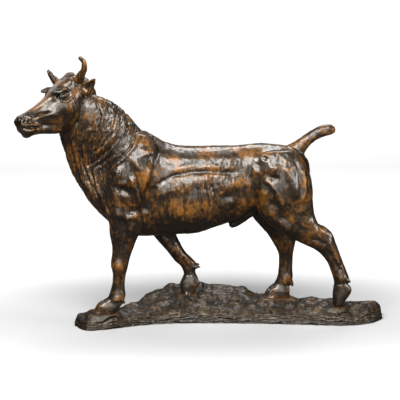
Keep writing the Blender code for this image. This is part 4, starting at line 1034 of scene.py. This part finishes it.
def groundHeight(x, y):   # squares: a bank at the back, the knolls, a ledge and slow waves
    bankEnd = 0.45 * smoothStep((x - 20.0) / 12.0) + 0.55 * smoothStep((x - 42.0) / 50.0)
    bank = 11.5 * smoothStep((x + 112.0) / 36.0) * (1.0 - bankEnd) * np.exp(-((y - 52.0) / 25.0) ** 2)
    height = groundForm["level"] + bank
    for knoll, knollX, knollY, spreadX, spreadY in groundForm["knolls"]:
        height += knoll * np.exp(-((x - knollX) / spreadX) ** 2 - ((y - knollY) / spreadY) ** 2)
    height += 1.8 * smoothStep((x - 66.0) / 5.0) * smoothStep((y + 32.0 + 0.10 * (x - 80.0)) / 4.0)
    height += 0.7 * np.sin(x / 7.0 + y / 5.0) + 0.5 * np.sin(x / 4.1 - y / 8.3 + 1.0)
    return height


def underHooves(x, y):   # (share, sole height) of each hoof's print at each place
    prints = []
    for hoof in hooves:
        (toeX, soleZ), (heelX, _) = hoof["sole"]
        beyondX = np.abs(x - (toeX + heelX) / 2.0) - (heelX - toeX) / 2.0
        beyondY = np.abs(y - hoof["y"]) - hoofHalfWidth
        beyond = np.hypot(np.maximum(beyondX, 0.0), np.maximum(beyondY, 0.0))
        prints.append((smoothStep((8.0 - beyond) / 6.0), soleZ - groundForm["seatGap"] / square))
    return prints


def rimDistance(x, y, outline):   # squares from each place to the outline of the plan
    nearest = np.full(len(x), np.inf)
    points = np.stack([x, y], axis=1)
    for start, end in zip(outline, np.roll(outline, -1, axis=0)):
        run = end - start
        t = np.clip((points - start) @ run / (run @ run), 0.0, 1.0)
        nearest = np.minimum(nearest, np.linalg.norm(points - start - t[:, None] * run, axis=1))
    return nearest


def planSlab():   # a slab with the plan's outline, and the points of that outline in squares
    curve = bpy.data.curves.new("plan", "CURVE")
    curve.dimensions = "2D"
    curve.fill_mode = "BOTH"
    curve.extrude = groundForm["slabHalf"]
    steps = bullForm["loftSteps"]
    rows = smoothedRows(plan[-1:] + plan + plan[:2], steps)[steps:-steps - 1]
    spline = curve.splines.new("POLY")
    spline.points.add(len(rows) - 1)
    middleX, middleY = groundForm["planMiddle"]
    spreadX, spreadY = groundForm["rimSpread"]
    halfLength = (groundHigh.x - groundLow.x - spreadX) / 2
    halfDepth = (groundHigh.y - groundLow.y - spreadY) / 2
    for point, (x, y) in zip(spline.points, rows):
        point.co = (middleX * square + x * halfLength, middleY * square + y * halfDepth, 0.0, 1.0)
    spline.use_cyclic_u = True
    outline = np.array([point.co[:2] for point in spline.points]) / square
    return fused([meshOf(added("plan", curve))], groundForm["fineness"]), outline


def shapeGround(slab, outline):   # the rim's flare and layers, then the rolling top with the hooves' prints
    places, normals = meshArrays(slab.data)
    share = places[:, 2] / groundForm["slabHalf"]
    x, y = (places / square)[:, :2].T
    side = np.linalg.norm(normals[:, :2], axis=1)
    lumpScale, lumpHeight = groundForm["rimLumps"]
    lumps = np.array([noise.fractal(Vector(p) * lumpScale, 1.0, 2.0, 4) for p in places])
    flat, steep, layerHeight = groundForm["rimLayers"]
    layers = np.array([noise.noise(Vector((px * flat, py * flat, pz * steep))) for px, py, pz in places])
    relief = square * (lumpHeight * lumps + layerHeight * layers)
    push = side * (groundForm["rimFlare"] * (0.6 - share) + relief)
    places[:, :2] += normals[:, :2] * push[:, None]
    height = groundHeight(x, y)
    for clodSize, clodHeight in groundForm["clods"]:
        clods = np.array([abs(noise.noise(Vector((px, py, 0.0)) / clodSize)) for px, py in places[:, :2]])
        height = height + (clodHeight * clods - 0.25 * clodHeight) / square
    inland = rimDistance(x, y, outline)
    height = height - groundForm["roundedRim"] * np.exp(-(inland / groundForm["roundedRim"]) ** 1.4)
    for pressed, sole in underHooves(x, y):
        height = height + (sole - height) * pressed
    top = onGrid((0.0, 0.0, 0.0)).z + height * square
    places[:, 2] = np.where(share > 0.0, share * top, places[:, 2])
    setPlaces(slab, places)


def levelPrints(slab):   # the tool marks leave the prints, so that the soles stand clear of them
    places, _ = meshArrays(slab.data)
    x, y, z = gridPlaces(places).T
    for pressed, sole in underHooves(x, y):
        deep = (pressed > 0.98) & (z > sole - 3.0)
        places[deep, 2] = onGrid((0.0, 0.0, sole)).z
    setPlaces(slab, places)


def cutFlat(slab):   # all below the floor comes off, and the cut is closed
    bm = bmesh.new()
    bm.from_mesh(slab.data)
    cut = bmesh.ops.bisect_plane(bm, geom=bm.verts[:] + bm.edges[:] + bm.faces[:], plane_co=(0, 0, 0),
                                 plane_no=(0, 0, 1), clear_inner=True, dist=0.000001)
    rim = [item for item in cut["geom_cut"] if isinstance(item, bmesh.types.BMEdge)]
    bmesh.ops.contextual_create(bm, geom=rim)
    bmesh.ops.triangulate(bm, faces=bm.faces)
    bmesh.ops.recalc_face_normals(bm, faces=bm.faces)
    bm.to_mesh(slab.data)
    bm.free()


def makeGround():
    slab, outline = planSlab()
    shapeGround(slab, outline)
    slab = tooled(thinned(slab, groundForm["triangles"]), baseBronze)
    levelPrints(slab)
    cutFlat(slab)
    storeReliefs(slab, groundForm["reliefs"])
    return slab


ground = makeGround()
print("ground finished:", len(ground.data.polygons), "triangles")


def place(piece, name, node, slotName):
    piece.name = name
    piece.data.name = name
    piece.data.shade_smooth()
    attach(piece, "root")
    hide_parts(node)


place(bull, "bronze_bull", "bull", "bronze_figure")
place(ground, "bronze_ground", "ground_base", "bronze_base")

studio = {
    "floorColour": (0.42, 0.42, 0.42, 1.0),
    "floorSize": 3.0,
    "backdropFrom": 0.6,    # of the floor's size, where it starts to bend up
    "backdropBend": 0.5,    # radius of the bend
    "backdropRise": 1.6,
    "paintedFloorGlow": 1.6,       # painted glow on the floor, added round the bull where the camera sees the floor
    "paintedGlowReach": (0.10, 0.45),   # the painted glow sets in between these distances from the bull
    "paintedGlowSquash": 0.55,      # of those distances along the bull
    "floorShade": (0.06, 0.06, 0.06, 1.0),   # the floor as the bronze mirrors it, in front and behind
    "wallShade": (0.07, 0.07, 0.07, 1.0),
    "worldSeen": 1.0,       # what the camera sees behind the floor
    "worldLight": 0.002,    # what lights the bronze
    "lamps": [              # (name, place, size, watts)
        ("keyBox", (-1.0, -1.2, 1.5), 0.8, 38.0),
        ("frontBox", (0.1, -1.6, 1.7), 1.2, 60.0),
        ("fillBox", (0.1, -2.2, 0.75), 1.5, 21.0),
        ("topBox", (0.35, 0.45, 1.5), 0.9, 1.2),
        ("rearBox", (0.4, 1.3, 2.1), 0.9, 20.0),
        ("backBox", (-0.95, 1.05, 1.3), 0.8, 3.5),
        ("rightBox", (1.5, -0.7, 0.7), 0.6, 12.0),
    ],
    "lampAim": (0.0, 0.0, 0.18),
}


def makeFloor():
    bm = bmesh.new()
    reach = studio["floorSize"]
    back = reach * studio["backdropFrom"]
    bend = studio["backdropBend"]
    profile = [(-reach, 0.0), (back, 0.0)]
    profile += [(back + bend * math.sin(a), bend * (1.0 - math.cos(a)))
                for a in (math.radians(9.0 * i) for i in range(1, 11))]
    profile.append((back + bend, studio["backdropRise"]))
    rows = [[bm.verts.new((x, y, z)) for y, z in profile] for x in (-reach, reach)]
    for i in range(len(profile) - 1):
        bm.faces.new((rows[0][i], rows[1][i], rows[1][i + 1], rows[0][i + 1]))
    bmesh.ops.recalc_face_normals(bm, faces=bm.faces)
    floor = newForm(bm)
    floor.name = "studio_floor"
    material, tree, shader = newMaterial("paleFloor")
    shader.inputs["Roughness"].default_value = 0.9
    shader.inputs["Specular IOR Level"].default_value = 0.0
    coordinates = tree.nodes.new("ShaderNodeTexCoord")
    split = tree.nodes.new("ShaderNodeSeparateXYZ")
    link(tree, coordinates.outputs["Object"], split.inputs[0])
    path = tree.nodes.new("ShaderNodeLightPath")
    colours = []
    for key in ("floorShade", "wallShade", "floorColour"):
        colour = tree.nodes.new("ShaderNodeRGB")
        colour.outputs[0].default_value = studio[key]
        colours.append(colour.outputs[0])
    x, y = split.outputs["X"], split.outputs["Y"]
    seen = path.outputs["Is Camera Ray"]
    mirrored = mixColours(tree, rampNode(tree, y, 0.0, 1.2), colours[0], colours[1])
    link(tree, mixColours(tree, seen, mirrored, colours[2]), shader.inputs["Base Color"])
    # Painted light: the floor glows for the camera, the more the farther it lies from the bull, so it reads
    # evenly white while the floor beside the bull shows only the lamps' light and shadow
    along = mathNode(tree, "MULTIPLY", x, studio["paintedGlowSquash"])
    away = mathNode(tree, "MULTIPLY_ADD", y, y, mathNode(tree, "MULTIPLY", along, along))
    paintedGlowShare = rampNode(tree, mathNode(tree, "SQRT", away), *studio["paintedGlowReach"])
    paintedGlow = mathNode(tree, "MULTIPLY", seen, mathNode(tree, "MULTIPLY", paintedGlowShare, studio["paintedFloorGlow"]))
    link(tree, colours[2], shader.inputs["Emission Color"])
    link(tree, paintedGlow, shader.inputs["Emission Strength"])
    floor.data.materials.append(material)
    floor.data.shade_smooth()


def aimed(holder, spot, aim):
    holder.location = spot
    holder.rotation_euler = (Vector(aim) - Vector(spot)).to_track_quat("-Z", "Y").to_euler()


def makeLamps():
    for name, spot, size, watts in studio["lamps"]:
        lamp = bpy.data.lights.new(name, "AREA")
        lamp.energy = watts
        lamp.size = size
        aimed(added(name, lamp), spot, studio["lampAim"])
    world = bpy.data.worlds.new("studio")
    world.use_nodes = True
    tree = world.node_tree
    background = tree.nodes["Background"]
    background.inputs["Color"].default_value = (1.0, 1.0, 1.0, 1.0)
    path = tree.nodes.new("ShaderNodeLightPath")
    level = mathNode(tree, "MULTIPLY_ADD", path.outputs["Is Camera Ray"],
                     studio["worldSeen"] - studio["worldLight"], studio["worldLight"])
    link(tree, level, background.inputs["Strength"])
    bpy.context.scene.world = world


photoCamera = {
    "turn": -5.0,           # degrees round from straight on, towards the head
    "distance": 1.63,
    "height": 0.438,
    "aim": (-0.042, 0.0, 0.193),
    "frameWidth": 0.60,     # metres across the frame at the aim
    "lift": -0.0175,        # vertical shift, in frame widths
}


def makeCamera():
    turn = math.radians(photoCamera["turn"])
    distance = photoCamera["distance"]
    aim = Vector(photoCamera["aim"])
    spot = Vector((aim.x + math.sin(turn) * distance, -math.cos(turn) * distance, photoCamera["height"]))
    camera = bpy.data.cameras.new("photoCamera")
    camera.lens = camera.sensor_width * (aim - spot).length / photoCamera["frameWidth"]
    camera.shift_y = photoCamera["lift"]
    holder = added("photoCamera", camera)
    aimed(holder, spot, aim)
    bpy.context.scene.camera = holder


makeFloor()
makeLamps()
makeCamera()
bpy.context.scene.view_settings.view_transform = "Standard"
print("studio set")
